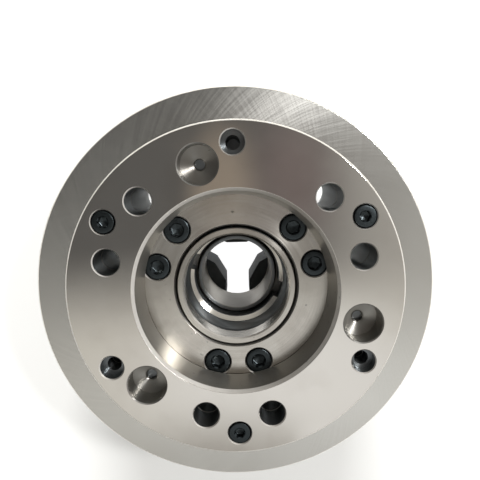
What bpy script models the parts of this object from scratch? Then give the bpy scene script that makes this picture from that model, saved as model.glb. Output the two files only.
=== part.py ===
"""Hollow three-jaw wedge chuck, 127 mm, with a short-taper back plate, standing on its soft jaws.

Metres, +Z up. The chuck's axis is Z, its back face looks up, and z = 0 is the front face of the soft jaws.
Everything is measured up from there: jaws, body, back plate. A pull on the draw nut lifts the wedge plunger
(+Z, towards the spindle), and its inclined T-slots draw the three master jaws in.
"""
import math

import bmesh
import bpy
from mathutils import Matrix

# Clearances
GAP = 0.0003                    # between separate pieces that seat on each other
THREAD_GAP = 0.0003             # round a screw's shank in its tapped hole

# Chuck body
BODY_DIAMETER = 0.1270
BODY_LENGTH = 0.0548
BODY_CHAMFER = 0.0005
JAW_ANGLES = (90, 210, 330)     # degrees, seen from the back
BETWEEN_JAWS = (30, 150, 270)

# Back plate with the short-taper seat for the spindle nose
PLATE_RIM = 0.0118              # of the flange, outside the bolt circle
PLATE_FLANGE = 0.0049           # thickness of the flange that stands proud of the body
PLATE_CHAMFER = 0.0005
PLATE_LEDGE = 0.0041            # by which the flange reaches past the spigot
SPIGOT_LENGTH = 0.0057          # how far the spigot goes into the body
NOSE_DIAMETER = 0.0635
NOSE_HALF_TAPER = 7.125         # degrees
NOSE_MOUTH_CHAMFER = 0.0010
BOLT_INSET = 0.00955            # from the taper's mouth out to the bolt circle
BOLT_HOLE = 0.0084
BOLT_SPREAD = 15                # degrees each side of the middle between two jaws
BOLT_HEAD_BORE = 0.0140
BOLT_GRIP = 0.0380              # from the plate's face to the seat of the bolt's head
DRIVE_HOLE = 0.0124
DRIVE_DEPTH = 0.0084
DRIVE_ANGLE = 15                # degrees past each jaw
DRIVE_PILOT = 0.0035
DRIVE_CONE = 0.0005             # depth of the shallow cone of its floor

# Cap screws: thread diameter, head diameter, head height, socket across flats
M3 = (0.0030, 0.0055, 0.0029, 0.0025)
M4 = (0.0040, 0.0069, 0.0039, 0.0030)
M5 = (0.0050, 0.0083, 0.0049, 0.0040)
M8 = (0.0080, 0.0128, 0.0078, 0.0060)
HEAD_ROOM = 0.0003              # round and above a sunk head
HEAD_CHAMFER = 0.08             # of the head's height
SOCKET_DEPTH = 0.6              # of the head's height
PLATE_SCREW_INSET = 0.0068      # from the flange's rim
PLATE_SCREW_LENGTH = 0.0160
RING_SCREW_INSET = 0.0037       # from the plunger's bore
RING_SCREW_LENGTH = 0.0140
BUSH_SCREW_INSET = 0.0037       # from the plunger's bore
BUSH_SCREW_LENGTH = 0.0100

# Rear guide ring, which closes the plunger's bore at the back
RING_EDGE = 0.0080              # outside the circle of its screws
RING_THICKNESS = 0.0087

# Draw nut
NUT_THREAD = 0.0348
NUT_WALL = 0.0021
NUT_SHOULDER = 0.0019           # at the bottom of the thread
NUT_ROOM = 0.00085              # between the tail and the guide ring
NUT_FLANGE_HEIGHT = 0.0042
NUT_TAIL_HEIGHT = 0.0251
NUT_THREAD_DEPTH = 0.0208
NUT_CHAMFER = 0.0005
NUT_SLOT_WIDTH = 0.0060          # spanner slots in the front end
NUT_SLOT_DEPTH = 0.0021         # out from the bore
NUT_SLOT_ANGLES = (160, 340)
RETAINER_HEIGHT = 0.0037
RETAINER_WALL = 0.0015

# Wedge plunger, drawn at the forward end of its stroke
STROKE = 0.0100
WEDGE_ANGLE = 15.0              # degrees from the axis
PLUNGER_WALL = 0.0014           # round the seat of the draw nut
PLUNGER_LENGTH = 0.0237
EAR_HEIGHT = 0.0094             # of an ear's outer face at the plunger's rear end
EAR_WIDTH = 0.0240
SLOT_LIP = 0.0030               # thickness of the wall that the hook pulls against
SLOT_NECK = 0.0116
SLOT_HEAD = 0.0180
SLOT_HEAD_DEPTH = 0.0036
SLOT_PLAY = 0.0003              # on each side of the hook

# Front bush, whose sleeve keeps chips out of the plunger
BUSH_EDGE = 0.0040              # outside the circle of its screws
BUSH_FLANGE = 0.0050
BUSH_BORE = 0.0260
SLEEVE_WALL = 0.0014
SLEEVE_ROOM = 0.0009            # between the sleeve and the plunger
SLEEVE_LENGTH = 0.0210          # behind the flange
BUSH_CHAMFER = 0.0012

# Master jaws
GUIDE_NECK = 0.0180
GUIDE_WINGS = 0.0270
WING_HEIGHT = 0.0080
NECK_DEPTH = 0.0075             # from the body's front face to the wings
MASTER_PROUD = 0.0017
MASTER_INSET = 0.0027           # of the outer end, from the body's rim
WING_SETBACK = 0.0005           # of the wings' inner end
HOOK_LENGTH = 0.0180            # along the axis
HOOK_START = 0.0030             # from the plunger's rear end
STEM_DEPTH = 0.0100             # radial thickness behind the hook

# Serrations between master and soft jaws
TOOTH_PITCH = 0.0015
TOOTH_DEPTH = 0.0009
TOOTH_FLANK = 30.0              # degrees from the axis

# T-nuts
TNUT_NECK = 0.0100
TNUT_HEAD = 0.0152
TNUT_HEAD_HEIGHT = 0.0045
TNUT_NECK_HEIGHT = 0.0060
TNUT_EDGE = 0.0052              # from the middle of an end hole to the end
TNUT_PLAY = 0.00025

# Soft jaws
JAW_HEIGHT = 0.0240
JAW_WIDTH = 0.0224
JAW_TIP = 0.0084                # radius of the flat tip
JAW_TIP_WIDTH = 0.0087
JAW_OVERHANG = 0.0012           # past the master jaw's outer end
NOSE_ANGLE = 60.0               # degrees from the jaw's middle plane
JAW_EDGE = 0.0005
JAW_BOLT_PITCH = 0.0140
JAW_BOLT_SHORT = 0.0010         # how far its tip stays inside the T-nut
JAW_HEAD_DEPTH = 0.0085

# Grease nipples in the front face
NIPPLE_INSET = 0.0125           # from the body's rim
NIPPLE_HOLE = 0.0070
NIPPLE_DEPTH = 0.0030
NIPPLE_THREAD = 0.0050
NIPPLE_THREAD_LENGTH = 0.0050
NIPPLE_HEAD = 0.0056
NIPPLE_HEAD_HEIGHT = 0.0026

# Lifting hole in the rim
LIFT_HOLE = 0.0070
LIFT_DEPTH = 0.0120

# Smoothness, as segments round
FINE = 60
MEDIUM = 36
SMALL = 12

# Diameters, from the bore outwards
SLEEVE_DIAMETER = BUSH_BORE + 2 * SLEEVE_WALL
PLUNGER_BORE = SLEEVE_DIAMETER + 2 * SLEEVE_ROOM
NUT_BORE = NUT_THREAD - 2 * NUT_SHOULDER
NUT_TAIL = NUT_THREAD + 2 * NUT_WALL
NUT_FLANGE = NUT_TAIL + 2 * (GAP + RETAINER_WALL)
RING_BORE = NUT_TAIL + 2 * NUT_ROOM
PLUNGER_DIAMETER = NUT_FLANGE + 2 * (GAP + PLUNGER_WALL)
BODY_BORE = PLUNGER_DIAMETER + 2 * GAP
EAR_REACH = PLUNGER_DIAMETER / 2 + EAR_HEIGHT
RING_SCREW_CIRCLE = BODY_BORE + 2 * RING_SCREW_INSET
RING_DIAMETER = RING_SCREW_CIRCLE + 2 * RING_EDGE
BUSH_SCREW_CIRCLE = BODY_BORE + 2 * BUSH_SCREW_INSET
BUSH_DIAMETER = BUSH_SCREW_CIRCLE + 2 * BUSH_EDGE
BOLT_CIRCLE = NOSE_DIAMETER + 2 * BOLT_INSET
PLATE_DIAMETER = BOLT_CIRCLE + 2 * PLATE_RIM
SPIGOT_DIAMETER = PLATE_DIAMETER - 2 * PLATE_LEDGE
PLATE_SCREW_CIRCLE = PLATE_DIAMETER - 2 * PLATE_SCREW_INSET
NIPPLE_CIRCLE = BODY_DIAMETER - 2 * NIPPLE_INSET

# Radii of the jaws, open
TAN_WEDGE = math.tan(math.radians(WEDGE_ANGLE))
JAW_TRAVEL = STROKE * TAN_WEDGE
MASTER_START = BUSH_DIAMETER / 2 + GAP + JAW_TRAVEL
MASTER_END = BODY_DIAMETER / 2 - MASTER_INSET
TNUT_START = MASTER_START + GAP
JAW_BOLTS = (TNUT_START + TNUT_EDGE, TNUT_START + TNUT_EDGE + JAW_BOLT_PITCH)
TNUT_END = JAW_BOLTS[1] + TNUT_EDGE
JAW_END = MASTER_END + JAW_OVERHANG

# Levels, up the axis
MASTER_FRONT = JAW_HEIGHT + GAP
BODY_FRONT = MASTER_FRONT + MASTER_PROUD
BODY_BACK = BODY_FRONT + BODY_LENGTH
PLATE_SEAT = BODY_BACK + GAP
PLATE_FACE = PLATE_SEAT + PLATE_FLANGE
SPIGOT_END = PLATE_SEAT - SPIGOT_LENGTH - GAP
RING_FACE = SPIGOT_END - GAP
RING_SEAT = RING_FACE - RING_THICKNESS
POCKET_FLOOR = RING_SEAT - GAP
BUSH_FACE = BODY_FRONT
BUSH_SEAT = BUSH_FACE + BUSH_FLANGE
PLUNGER_FRONT = BUSH_SEAT + GAP
PLUNGER_REAR = PLUNGER_FRONT + PLUNGER_LENGTH
WING_FRONT = BODY_FRONT + NECK_DEPTH
WING_BACK = WING_FRONT + WING_HEIGHT
HOOK_BACK = PLUNGER_REAR - HOOK_START
HOOK_FRONT = HOOK_BACK - HOOK_LENGTH
PAST = 0.0020                   # how far a cutter runs past the face it opens
SAME_PLANE = math.radians(0.1)  # the filled faces of one outline are joined below this angle


def clear_scene():
    for old in list(bpy.data.objects):
        bpy.data.objects.remove(old, do_unlink=True)


def collection(name):
    made = bpy.data.collections.new(name)
    bpy.context.scene.collection.children.link(made)
    return made


def material(name, colour, roughness, metallic):
    made = bpy.data.materials.new(name)
    made.use_nodes = True
    shader = made.node_tree.nodes["Principled BSDF"]
    shader.inputs["Base Color"].default_value = (*colour, 1.0)
    shader.inputs["Roughness"].default_value = roughness
    shader.inputs["Metallic"].default_value = metallic
    return made


def add_object(name, mesh, group):
    made = bpy.data.objects.new(name, mesh)
    group.objects.link(made)
    return made


def add_cutter(name, mesh):
    made = add_object(name, mesh, CUTTERS)
    made.hide_render = True
    made.display_type = "WIRE"
    return made


def evaluated_mesh(source):
    """The object's mesh with its modifiers, in world space; the object itself is removed."""
    bpy.context.view_layer.update()
    graph = bpy.context.evaluated_depsgraph_get()
    mesh = bpy.data.meshes.new_from_object(source.evaluated_get(graph))
    mesh.transform(source.matrix_world)
    bpy.data.objects.remove(source, do_unlink=True)
    work = bmesh.new()
    work.from_mesh(mesh)
    bmesh.ops.remove_doubles(work, verts=work.verts, dist=0.000002)
    work.to_mesh(mesh)
    work.free()
    return mesh


def turned_mesh(profile, segments):
    """A turned shape. The profile of (radius, z) points runs down the outer side and up the inner one;
    it is closed if it has a bore, and starts and ends on the axis if it has none."""
    mesh = bpy.data.meshes.new("profile")
    closed = min(radius for radius, _ in profile) > 0
    count = len(profile)
    edges = [(i, i + 1) for i in range(count - 1)]
    if closed:
        edges.append((count - 1, 0))
    mesh.from_pydata([(radius, 0, z) for radius, z in profile], edges, [])
    source = add_object("profile", mesh, CUTTERS)
    screw = source.modifiers.new("Screw", "SCREW")
    screw.steps = screw.render_steps = segments
    screw.use_merge_vertices = True
    screw.merge_threshold = 0.00001
    return evaluated_mesh(source)


def flat_mesh(points, thickness):
    """A flat outline of (x, y) points, filled and given its thickness about the XY plane."""
    curve = bpy.data.curves.new("outline", "CURVE")
    curve.dimensions = "2D"
    curve.fill_mode = "BOTH"
    curve.extrude = thickness / 2
    spline = curve.splines.new("POLY")
    spline.points.add(len(points) - 1)
    for point, (x, y) in zip(spline.points, points):
        point.co = (x, y, 0, 1)
    spline.use_cyclic_u = True
    mesh = evaluated_mesh(add_object("outline", curve, CUTTERS))
    work = bmesh.new()
    work.from_mesh(mesh)
    bmesh.ops.dissolve_limit(work, angle_limit=SAME_PLANE, verts=work.verts, edges=work.edges)
    bmesh.ops.recalc_face_normals(work, faces=work.faces)
    work.to_mesh(mesh)
    work.free()
    return mesh


def side_mesh(points, width):
    """An outline of (radius, z) points in the XZ plane, given its width along Y."""
    mesh = flat_mesh(points, width)
    mesh.transform(Matrix.Rotation(math.radians(90), 4, "X"))
    return mesh


def oblong_mesh(inner, outer, low, high, width):
    """A rectangular block that reaches out along X, between two radii and two levels."""
    return side_mesh([(inner, low), (outer, low), (outer, high), (inner, high)], width)


def plan_mesh(points, low, high):
    """An outline of (x, y) points that stands from one level to another."""
    mesh = flat_mesh(points, high - low)
    mesh.transform(Matrix.Translation((0, 0, (low + high) / 2)))
    return mesh


def scattered(mesh, places):
    """One mesh with a copy of another at each place, a 4x4 matrix."""
    work = bmesh.new()
    for place in places:
        copy = mesh.copy()
        copy.transform(place)
        work.from_mesh(copy)
        bpy.data.meshes.remove(copy)
    joined = bpy.data.meshes.new(mesh.name)
    work.to_mesh(joined)
    work.free()
    return joined


def round_about(angles, radius=0.0):
    """Places on a circle about the axis, each turned to face outwards along its own X."""
    out = Matrix.Translation((radius, 0, 0))
    return [Matrix.Rotation(math.radians(angle), 4, "Z") @ out for angle in angles]


def boolean(target, cutter, operation="DIFFERENCE"):
    step = target.modifiers.new(cutter.name, "BOOLEAN")
    step.operation = operation
    step.solver = "EXACT"
    step.object = cutter


def shade(mesh, degrees=35):
    mesh.shade_smooth()
    mesh.set_sharp_from_angle(angle=math.radians(degrees))


def finished(name, mesh, cuts, surface, joins=()):
    """A named part: its base shape with joins and cuts as live Booleans, shaded and given its material."""
    part = add_object(name, mesh, PARTS)
    for title, other in joins:
        boolean(part, add_cutter(f"{name}_{title}", other), "UNION")
    for title, other in cuts:
        boolean(part, add_cutter(f"{name}_{title}", other))
    shade(part.data)
    part.data.materials.append(surface)
    return part


def applied(part):
    """The part with its Booleans applied, for a mesh that several copies share."""
    surface = part.data.materials[0]
    mesh = evaluated_mesh(part)
    mesh.materials.clear()
    mesh.materials.append(surface)
    shade(mesh)
    return mesh


def stepped_mesh(steps, segments=SMALL):
    """A stepped cylinder from (diameter, top, bottom) steps, top step first."""
    profile = [(0, steps[0][1])]
    for diameter, top, bottom in steps:
        profile += [(diameter / 2, top), (diameter / 2, bottom)]
    profile.append((0, steps[-1][2]))
    return turned_mesh(profile, segments)


def cap_screw_mesh(size, length, segments=SMALL):
    """A cap screw along Z with the top of its head at z = 0 and its hexagon socket cut."""
    thread, head, height, flats = size
    edge = height * HEAD_CHAMFER
    mesh = turned_mesh([
        (0, 0), (head / 2 - edge, 0), (head / 2, -edge), (head / 2, -height), (thread / 2, -height),
        (thread / 2, -height - length), (0, -height - length),
    ], segments)
    work = bmesh.new()
    corner = flats / math.sqrt(3)
    bmesh.ops.create_cone(work, cap_ends=True, segments=6, radius1=corner, radius2=corner,
                          depth=2 * SOCKET_DEPTH * height)
    socket = bpy.data.meshes.new("socket")
    work.to_mesh(socket)
    work.free()
    screw = finished("screw", mesh, [("socket", socket)], BLACK_OXIDE)
    return applied(screw)


def place_copies(name, mesh, places):
    made = []
    for number, place in enumerate(places, 1):
        part = add_object(f"{name}_{number}", mesh, PARTS)
        part.matrix_world = place
        made.append(part)
    return made


def head_bore(size):
    return size[1] + 2 * HEAD_ROOM


def tapped(size):
    return size[0] + 2 * THREAD_GAP


def bolt_angles():
    """The mounting bolts stand in pairs about the middles between the jaws."""
    return [middle + side * BOLT_SPREAD for middle in BETWEEN_JAWS for side in (-1, 1)]


def plate_screw_places():
    return round_about(BETWEEN_JAWS + JAW_ANGLES, PLATE_SCREW_CIRCLE / 2)


def ear_face(z):
    """Radius of a plunger ear's inclined outer face at a level, with the chuck open."""
    return EAR_REACH - (PLUNGER_REAR - z) * TAN_WEDGE


def inclined(outer, inner, low, high):
    """A slab parallel to the wedge: from one depth to another below the ear's face, between two levels."""
    slant = 1 / math.cos(math.radians(WEDGE_ANGLE))
    return [
        (ear_face(high) - outer * slant, high), (ear_face(low) - outer * slant, low),
        (ear_face(low) - inner * slant, low), (ear_face(high) - inner * slant, high),
    ]


def make_back_plate():
    """Flange and spigot in one, with the spindle's taper seat, bolt holes and drive-button holes."""
    flange = PLATE_DIAMETER / 2
    spigot = SPIGOT_DIAMETER / 2
    mouth = NOSE_DIAMETER / 2
    depth = PLATE_FACE - SPIGOT_END
    narrow = mouth - depth * math.tan(math.radians(NOSE_HALF_TAPER))
    body = turned_mesh([
        (flange - PLATE_CHAMFER, PLATE_FACE), (flange, PLATE_FACE - PLATE_CHAMFER), (flange, PLATE_SEAT),
        (spigot, PLATE_SEAT), (spigot, SPIGOT_END), (narrow, SPIGOT_END),
        (mouth, PLATE_FACE - NOSE_MOUTH_CHAMFER), (mouth + NOSE_MOUTH_CHAMFER, PLATE_FACE),
    ], FINE)
    above = PLATE_FACE + PAST
    below = SPIGOT_END - PAST
    bolts = stepped_mesh([(BOLT_HOLE, above, below)])
    screw_floor = PLATE_FACE - M4[2] - HEAD_ROOM
    screws = stepped_mesh([(head_bore(M4), above, screw_floor), (tapped(M4), screw_floor, below)])
    drive_floor = PLATE_FACE - DRIVE_DEPTH
    drive = turned_mesh([
        (0, above), (DRIVE_HOLE / 2, above), (DRIVE_HOLE / 2, drive_floor),
        (DRIVE_PILOT / 2, drive_floor - DRIVE_CONE), (DRIVE_PILOT / 2, below), (0, below),
    ], SMALL)
    drive_angles = [angle + DRIVE_ANGLE for angle in JAW_ANGLES]
    return finished("back_plate", body, [
        ("bolt_holes", scattered(bolts, round_about(bolt_angles(), BOLT_CIRCLE / 2))),
        ("screw_holes", scattered(screws, plate_screw_places())),
        ("drive_holes", scattered(drive, round_about(drive_angles, BOLT_CIRCLE / 2))),
    ], GROUND_STEEL)


def make_chuck_body():
    """The forged body: register, ring pocket and plunger bore in one turned shape, then slots and holes."""
    rim = BODY_DIAMETER / 2
    register = SPIGOT_DIAMETER / 2 + GAP
    pocket = RING_DIAMETER / 2 + GAP
    bore = BODY_BORE / 2
    bush = BUSH_DIAMETER / 2 + GAP
    seat = BUSH_SEAT + GAP
    body = turned_mesh([
        (rim - BODY_CHAMFER, BODY_BACK), (rim, BODY_BACK - BODY_CHAMFER),
        (rim, BODY_FRONT + BODY_CHAMFER), (rim - BODY_CHAMFER, BODY_FRONT),
        (bush, BODY_FRONT), (bush, seat), (bore, seat), (bore, POCKET_FLOOR), (pocket, POCKET_FLOOR),
        (pocket, SPIGOT_END - GAP), (register, SPIGOT_END - GAP), (register, BODY_BACK),
    ], FINE)
    channel_reach = EAR_REACH + 2 * GAP
    inside = BODY_BORE / 4
    channel = oblong_mesh(inside, channel_reach, seat - PAST, POCKET_FLOOR + PAST, EAR_WIDTH + 2 * GAP)
    hook_pocket = oblong_mesh(channel_reach - PAST, stem_end() + GAP, WING_FRONT, HOOK_BACK + GAP,
                              GUIDE_NECK + 2 * GAP)
    neck = oblong_mesh(inside, rim + PAST, BODY_FRONT - PAST, WING_FRONT + PAST, GUIDE_NECK + 2 * GAP)
    wings = oblong_mesh(inside, rim + PAST, WING_FRONT - GAP, WING_BACK + GAP, GUIDE_WINGS + 2 * GAP)
    bolt_seat = PLATE_FACE - BOLT_GRIP
    bolts = stepped_mesh([(BOLT_HOLE, BODY_BACK + PAST, bolt_seat),
                          (BOLT_HEAD_BORE, bolt_seat, BODY_FRONT - PAST)])
    plate_screws = stepped_mesh([
        (tapped(M4), BODY_BACK + PAST, PLATE_FACE - M4[2] - HEAD_ROOM - PLATE_SCREW_LENGTH - PAST)])
    ring_screws = stepped_mesh([
        (tapped(M5), POCKET_FLOOR + PAST, RING_FACE - M5[2] - HEAD_ROOM - RING_SCREW_LENGTH - PAST)])
    bush_screws = stepped_mesh([
        (tapped(M3), BUSH_FACE + M3[2] + HEAD_ROOM + BUSH_SCREW_LENGTH + PAST, seat - PAST)])
    nipple_floor = BODY_FRONT + NIPPLE_DEPTH
    nipples = stepped_mesh([
        (NIPPLE_THREAD + 2 * THREAD_GAP, nipple_floor + NIPPLE_THREAD_LENGTH + 2 * GAP, nipple_floor),
        (NIPPLE_HOLE, nipple_floor, BODY_FRONT - PAST)])
    lift = stepped_mesh([(LIFT_HOLE, PAST, -LIFT_DEPTH)])
    middle = Matrix.Translation((rim, 0, (BODY_FRONT + BODY_BACK) / 2))
    lift.transform(middle @ Matrix.Rotation(math.radians(90), 4, "Y"))
    return finished("chuck_body", body, [
        ("channels", scattered(channel, round_about(JAW_ANGLES))),
        ("hook_pockets", scattered(hook_pocket, round_about(JAW_ANGLES))),
        ("wing_slots", scattered(wings, round_about(JAW_ANGLES))),
        ("neck_slots", scattered(neck, round_about(JAW_ANGLES))),
        ("bolt_holes", scattered(bolts, round_about(bolt_angles(), BOLT_CIRCLE / 2))),
        ("plate_taps", scattered(plate_screws, plate_screw_places())),
        ("ring_taps", scattered(ring_screws, round_about(bolt_angles(), RING_SCREW_CIRCLE / 2))),
        ("bush_taps", scattered(bush_screws, round_about(BETWEEN_JAWS, BUSH_SCREW_CIRCLE / 2))),
        ("nipple_holes", scattered(nipples, round_about(BETWEEN_JAWS, NIPPLE_CIRCLE / 2))),
        ("lifting_hole", scattered(lift, round_about([BETWEEN_JAWS[0]]))),
    ], FORGED_STEEL)


def stem_end():
    """Outer radius of the stem that carries a master jaw's hook."""
    return ear_face(HOOK_BACK) + STEM_DEPTH


def make_rear_guide_ring():
    body = turned_mesh([
        (RING_DIAMETER / 2, RING_FACE), (RING_DIAMETER / 2, RING_SEAT),
        (RING_BORE / 2, RING_SEAT), (RING_BORE / 2, RING_FACE),
    ], MEDIUM)
    floor = RING_FACE - M5[2] - HEAD_ROOM
    screws = stepped_mesh([(head_bore(M5), RING_FACE + PAST, floor), (tapped(M5), floor, RING_SEAT - PAST)])
    return finished("rear_guide_ring", body, [
        ("screw_holes", scattered(screws, round_about(bolt_angles(), RING_SCREW_CIRCLE / 2))),
    ], RING_STEEL)


def make_front_bush():
    """Flange in the front face and the sleeve that reaches back through the plunger."""
    sleeve_end = BUSH_SEAT + SLEEVE_LENGTH
    bore = BUSH_BORE / 2
    body = turned_mesh([
        (bore, sleeve_end), (SLEEVE_DIAMETER / 2, sleeve_end), (SLEEVE_DIAMETER / 2, BUSH_SEAT),
        (BUSH_DIAMETER / 2, BUSH_SEAT), (BUSH_DIAMETER / 2, BUSH_FACE),
        (bore + BUSH_CHAMFER, BUSH_FACE), (bore, BUSH_FACE + BUSH_CHAMFER),
    ], MEDIUM)
    floor = BUSH_FACE + M3[2] + HEAD_ROOM
    screws = stepped_mesh([(tapped(M3), BUSH_SEAT + PAST, floor), (head_bore(M3), floor, BUSH_FACE - PAST)])
    return finished("front_bush", body, [
        ("screw_holes", scattered(screws, round_about(BETWEEN_JAWS, BUSH_SCREW_CIRCLE / 2))),
    ], GROUND_STEEL)


def make_wedge_plunger():
    """Tube with three ears; each ear's T-slot slopes in towards the front. One turned cutter faces both ends
    and bores the seat for the draw nut."""
    low = PLUNGER_FRONT - PAST
    high = PLUNGER_REAR + PAST
    tube = stepped_mesh([(PLUNGER_DIAMETER, high, low)], MEDIUM)
    inside = (PLUNGER_DIAMETER + PLUNGER_BORE) / 4
    trim = PAST / 2
    ear = side_mesh([(ear_face(high - trim), high - trim), (ear_face(low + trim), low + trim),
                     (inside, low + trim), (inside, high - trim)], EAR_WIDTH)
    counterbore = nut_flange_front() - GAP
    swept = EAR_REACH + EAR_WIDTH
    bore = turned_mesh([
        (0, high + PAST), (swept, high + PAST), (swept, PLUNGER_REAR),
        (NUT_FLANGE / 2 + GAP, PLUNGER_REAR), (NUT_FLANGE / 2 + GAP, counterbore),
        (PLUNGER_BORE / 2, counterbore), (PLUNGER_BORE / 2, PLUNGER_FRONT),
        (swept, PLUNGER_FRONT), (swept, low - PAST), (0, low - PAST),
    ], MEDIUM)
    slot_neck = side_mesh(inclined(-PAST, SLOT_LIP + SLOT_HEAD_DEPTH / 2, low, high), SLOT_NECK)
    slot_head = side_mesh(inclined(SLOT_LIP, SLOT_LIP + SLOT_HEAD_DEPTH, low, high), SLOT_HEAD)
    return finished("wedge_plunger", tube, [
        ("bore", bore),
        ("slot_necks", scattered(slot_neck, round_about(JAW_ANGLES))),
        ("slot_heads", scattered(slot_head, round_about(JAW_ANGLES))),
    ], HARDENED_STEEL, joins=[("ears", scattered(ear, round_about(JAW_ANGLES)))])


def nut_flange_back():
    return PLUNGER_REAR - RETAINER_HEIGHT - 2 * GAP


def nut_flange_front():
    return nut_flange_back() - NUT_FLANGE_HEIGHT


def nut_face():
    return nut_flange_back() + NUT_TAIL_HEIGHT


def make_draw_nut():
    """The threaded tail that takes the draw tube, a flange that turns in the plunger, and two spanner slots
    in the front end, reached through the bore."""
    face = nut_face()
    shoulder = face - NUT_THREAD_DEPTH
    body = turned_mesh([
        (NUT_TAIL / 2 - NUT_CHAMFER / 2, face), (NUT_TAIL / 2, face - NUT_CHAMFER / 2),
        (NUT_TAIL / 2, nut_flange_back()), (NUT_FLANGE / 2, nut_flange_back()),
        (NUT_FLANGE / 2, nut_flange_front()), (NUT_BORE / 2, nut_flange_front()),
        (NUT_BORE / 2, shoulder), (NUT_THREAD / 2, shoulder),
        (NUT_THREAD / 2, face - NUT_CHAMFER), (NUT_THREAD / 2 + NUT_CHAMFER, face),
    ], MEDIUM)
    slot = oblong_mesh(NUT_BORE / 2 - PAST, NUT_BORE / 2 + NUT_SLOT_DEPTH,
                       nut_flange_front() - PAST, shoulder + 2 * NUT_CHAMFER, NUT_SLOT_WIDTH)
    return finished("draw_nut", body, [
        ("spanner_slots", scattered(slot, round_about(NUT_SLOT_ANGLES))),
    ], HARDENED_STEEL)


def make_nut_retainer():
    """The threaded ring that holds the nut's flange down in the plunger."""
    top = PLUNGER_REAR - GAP
    return finished("nut_retaining_ring", turned_mesh([
        (NUT_FLANGE / 2, top), (NUT_FLANGE / 2, top - RETAINER_HEIGHT),
        (NUT_TAIL / 2 + GAP, top - RETAINER_HEIGHT), (NUT_TAIL / 2 + GAP, top),
    ], MEDIUM), [], HARDENED_STEEL)


def groove_mesh(floor, mouth, width):
    """One groove of the serration, about x = 0: flanks at 30 degrees to the axis, open past its mouth."""
    run = TOOTH_DEPTH * math.tan(math.radians(TOOTH_FLANK))
    half = (TOOTH_PITCH / 2 - run) / 2
    beyond = mouth + math.copysign(PAST, mouth - floor)
    return side_mesh([
        (-half, floor), (half, floor), (half + run, mouth), (half + run, beyond),
        (-half - run, beyond), (-half - run, mouth),
    ], width + 2 * PAST)


def groove_places(first, end):
    count = int((end - first) / TOOTH_PITCH) + 1
    return [Matrix.Translation((first + number * TOOTH_PITCH, 0, 0)) for number in range(count)]


def make_master_jaw_mesh():
    """T-shaped guide, inclined hook for the plunger's slot, serrated front and slot for the T-nut."""
    face = MASTER_FRONT
    step = (WING_FRONT + WING_BACK) / 2
    slant = GAP / math.cos(math.radians(WEDGE_ANGLE))
    guide = side_mesh([
        (MASTER_START, face), (MASTER_END, face), (MASTER_END, step), (stem_end(), step),
        (stem_end(), HOOK_BACK), (ear_face(HOOK_BACK) + slant, HOOK_BACK),
        (ear_face(HOOK_FRONT) + slant, HOOK_FRONT), (MASTER_START, HOOK_FRONT),
    ], GUIDE_NECK)
    wing_start = MASTER_START + WING_SETBACK
    wings = oblong_mesh(wing_start, MASTER_END, WING_FRONT, WING_BACK, GUIDE_WINGS)
    neck = side_mesh(inclined(-STEM_DEPTH / 2, SLOT_LIP + SLOT_HEAD_DEPTH / 2, HOOK_FRONT, HOOK_BACK),
                     SLOT_NECK - 2 * SLOT_PLAY)
    hook = (SLOT_LIP + SLOT_PLAY, SLOT_LIP + SLOT_HEAD_DEPTH - SLOT_PLAY)
    head = side_mesh(inclined(*hook, HOOK_FRONT, HOOK_BACK), SLOT_HEAD - 2 * SLOT_PLAY)
    slot_neck = oblong_mesh(MASTER_START - PAST, MASTER_END + PAST, face - PAST, tnut_middle(),
                            TNUT_NECK + 2 * TNUT_PLAY)
    slot_head = oblong_mesh(TNUT_START - 2 * GAP, MASTER_END + PAST, tnut_shoulder() - TNUT_PLAY,
                            tnut_back() + TNUT_PLAY, TNUT_HEAD + 2 * TNUT_PLAY)
    groove = groove_mesh(face + TOOTH_DEPTH, face, GUIDE_NECK)
    places = groove_places(MASTER_START + TOOTH_PITCH / 2, MASTER_END + TOOTH_PITCH)
    jaw = finished("master_jaw", guide, [
        ("tnut_slot_neck", slot_neck), ("tnut_slot_head", slot_head), ("grooves", scattered(groove, places)),
    ], BLACK_STEEL, joins=[("wings", wings), ("hook_neck", neck), ("hook_head", head)])
    return applied(jaw)


def tnut_shoulder():
    """Where the T-nut's head starts, behind the jaw's lip."""
    return WING_FRONT + 2 * GAP


def tnut_middle():
    return tnut_shoulder() + TNUT_HEAD_HEIGHT / 2


def tnut_back():
    return tnut_shoulder() + TNUT_HEAD_HEIGHT


def make_t_nut_mesh():
    neck = oblong_mesh(TNUT_START, TNUT_END, tnut_shoulder() - TNUT_NECK_HEIGHT, tnut_middle(), TNUT_NECK)
    head = oblong_mesh(TNUT_START, TNUT_END, tnut_shoulder(), tnut_back(), TNUT_HEAD)
    holes = [Matrix.Translation((radius, 0, 0)) for radius in JAW_BOLTS]
    tap = stepped_mesh([(tapped(M8), tnut_back() + PAST, MASTER_FRONT)])
    nut = finished("t_nut", head, [("taps", scattered(tap, holes))], BLACK_OXIDE, joins=[("neck", neck)])
    return applied(nut)


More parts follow.
